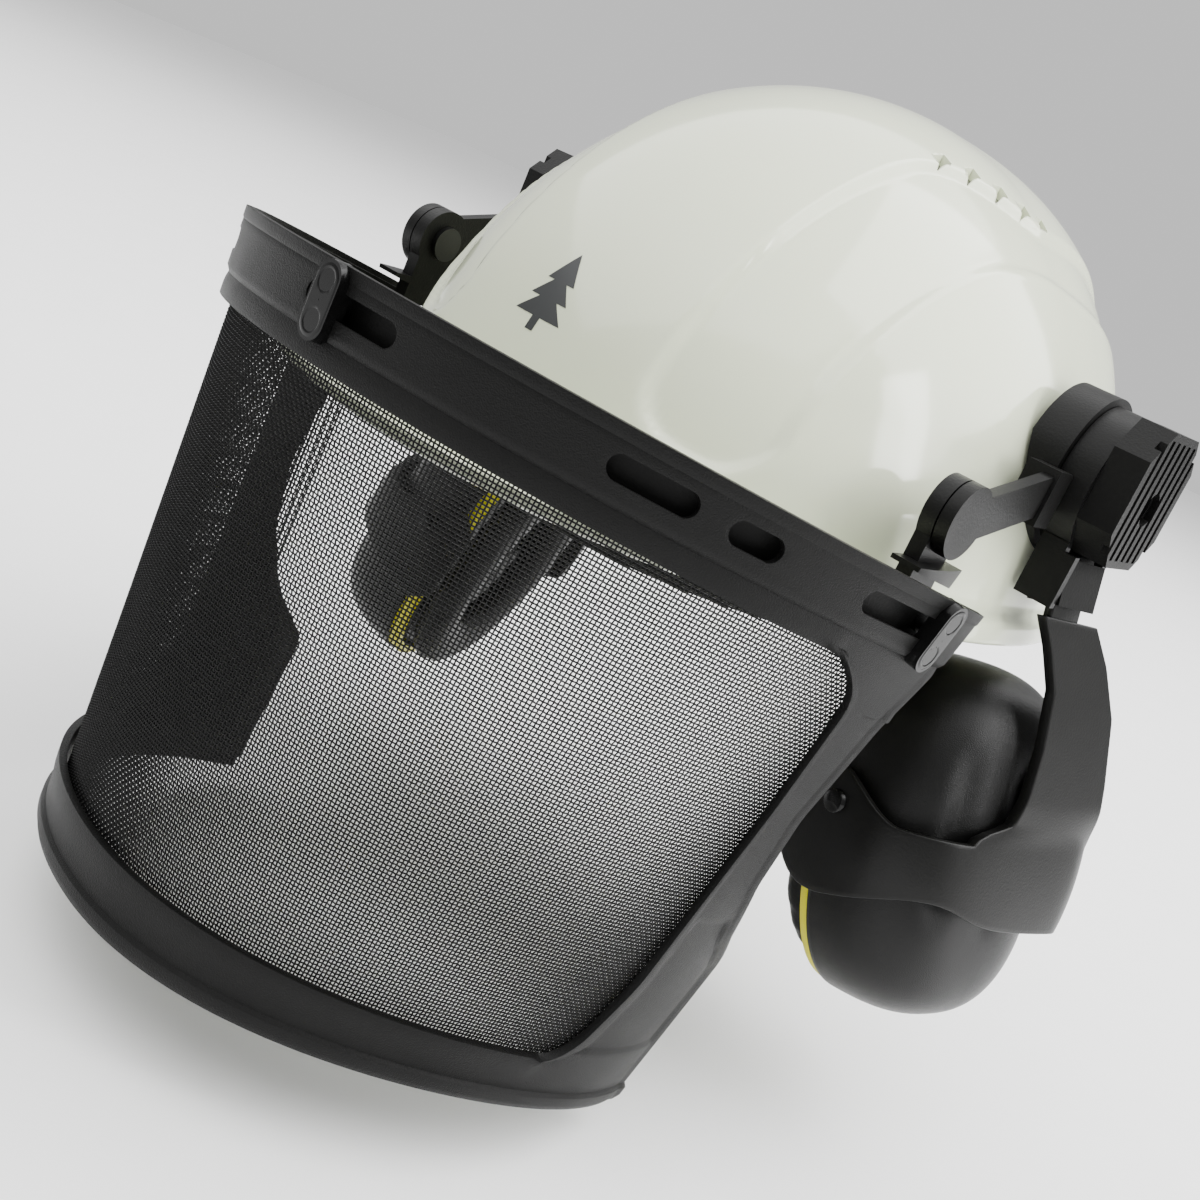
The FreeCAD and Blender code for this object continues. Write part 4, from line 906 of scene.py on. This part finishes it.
def make_foam(name, side):
    """Open-cell foam in the cup: a shallow dish with low waves."""
    count = 96
    angles = ring_angles(count)
    sizes = np.array((1.0, 1.02, 1.0, 0.93, 0.8, 0.6, 0.4, 0.2, 0.02))
    depth = np.array((8.5, 5.0, 2.4, 1.4, 1.9, 2.7, 3.0, 3.1, 3.1))
    y, z = oval_ring(32.5, 46.0, angles)
    waves = 0.5 * np.sin(y[None, :] * sizes[:, None] * 0.5) * np.sin(z[None, :] * sizes[:, None] * 0.45)
    points = np.stack((depth[:, None] + waves, sizes[:, None] * y, sizes[:, None] * z), -1)
    item = piece(f"foam_{name}", f"cup_{name}", in_muff(points), quads(len(sizes), count, True), "foam",
                 (f"foam_liner_{name}",), side=side, wall=1.0, offset=0)


# ---------------------------------------------------------------- harness
def strap(centre, half_width, thickness, across):
    """A flat strap along a path of points, with rounded edges and a slight crown."""
    profile = ((-1, 0.0), (-0.97, 0.5), (-0.8, 0.62), (0, 0.7), (0.8, 0.62), (0.97, 0.5), (1, 0.0),
               (0.97, -0.5), (0.8, -0.5), (0, -0.5), (-0.8, -0.5), (-0.97, -0.5))
    ahead = np.gradient(centre, axis=0)
    ahead /= np.linalg.norm(ahead, axis=1)[:, None]
    across = np.broadcast_to(np.asarray(across, float), centre.shape)
    normal = np.cross(ahead, across)
    rings = [centre + across * half_width * a + normal * thickness * b for a, b in profile]
    points = np.stack(rings, 1)
    return points.reshape(-1, 3), quads(len(centre), len(profile), True)


def make_cradle():
    """Crown webbing: two straps across and one from front to back, each on the same egg-shaped crown."""
    half_width, thickness = 9.8, 1.3
    for name, shift in (("front", -38.0), ("rear", 38.0)):
        scale = math.sqrt(1 - (shift / HEAD_HALF_LENGTH) ** 2)
        angles = np.linspace(-1.40, 1.40, 60)
        centre = np.stack((HEAD_HALF_WIDTH * scale * np.sin(angles), np.full(len(angles), HEAD_Y + shift),
                           HEAD_BASE + HEAD_RISE * scale * np.cos(angles)), -1)
        points, faces = strap(centre, half_width, thickness, (0, 1, 0))
        piece(f"strap_{name}", "helmet", points, faces, "webbing", (f"crown_strap_{name}",))
    angles = np.linspace(-1.41, 1.41, 70)
    centre = np.stack((np.zeros(len(angles)), HEAD_Y + HEAD_HALF_LENGTH * np.sin(angles),
                       HEAD_BASE + 1.5 + HEAD_RISE * np.cos(angles)), -1)
    points, faces = strap(centre, half_width, thickness, (1, 0, 0))
    piece("strap_long", "helmet", points, faces, "webbing", ("crown_strap_long",), flip=True)


def make_sweatband():
    """Padded band inside the headband's front, with a seam near each edge."""
    angles = np.radians(np.linspace(-66, 66, 120))
    rows = np.linspace(-1, 1, 26)
    seam = 0.9 * np.exp(-((np.abs(rows) - 0.8) / 0.07) ** 2)
    padding = 3.4 * np.clip(1 - np.abs(rows) ** 6, 0, 1) ** 0.5 - seam
    reach, length = 79.9 - padding[:, None], 100.9 - padding[:, None]
    height = np.broadcast_to(-21.0 + 12.0 * rows[:, None], (len(rows), len(angles)))
    points = np.stack((reach * np.sin(angles), HEAD_Y - length * np.cos(angles), height), -1)
    item = piece("sweatband_pad", "helmet", points, quads(len(rows), len(angles)), "sweatband",
                 ("sweatband",), flip=True)


def make_springs():
    """A wound coil round each mount's screw."""
    turns, steps, radius, first_x, long = 3.6, 140, 6.0, 117.4, 1.9
    angle = np.linspace(0, 2 * math.pi * turns, steps)
    path = np.stack((first_x + long * angle / angle[-1], MOUNT_Y + radius * np.cos(angle),
                     MOUNT_Z + radius * np.sin(angle)), -1)
    for name, side in SIDES:
        points, faces = tube(path, 0.22, 6)
        piece(f"spring_coil_{name}", f"swivel_{name}", points, faces, "spring", (f"mount_spring_{name}",),
              side=side)


def dress(node, material, bevel=0.0):
    """Gives a CAD node its material and softens its edges."""
    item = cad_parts[node]
    item.data.materials.clear()
    item.data.materials.append(MATERIALS[material])
    if bevel:
        soften(item, bevel)


SIDE_NODES = (("mount_base", "mount", 0.5), ("mount_body", "mount", 0.5), ("mount_cap", "cap", 0.5),
              ("hinge_block", "mount", 0.5), ("visor_arm", "arm", 0.5), ("visor_link", "arm", 0.5),
              ("pivot_pin", "steel", 0.3), ("friction_washer", "rubber", 0), ("mount_screw", "steel", 0.3),
              ("hinge_pin", "steel", 0.2), ("cup_plate", "mount", 0.3), ("yoke_pins", "steel", 0.3))
MIDDLE_NODES = (("headband", "harness", 0.4), ("harness_anchors", "clip", 0.4),
                ("ratchet_housing", "harness", 0.5), ("ratchet_knob", "button", 0.5),
                ("ratchet_pinion", "harness", 0.1), ("visor_carrier", "carrier", 0.3))

make_camera()
make_light()
make_floor()
make_shell()
make_visor_frame()
make_wires()
make_buttons()
for side_name, side_sign in SIDES:
    make_cup(side_name, side_sign)
    make_cup_label(side_name, side_sign)
    make_yoke(side_name, side_sign)
    make_cushion(side_name, side_sign)
    make_foam(side_name, side_sign)
    for node, finish, width in SIDE_NODES:
        dress(f"{node}_{side_name}", finish, width)
make_cradle()
make_sweatband()
make_springs()
for node, finish, width in MIDDLE_NODES:
    dress(node, finish, width)
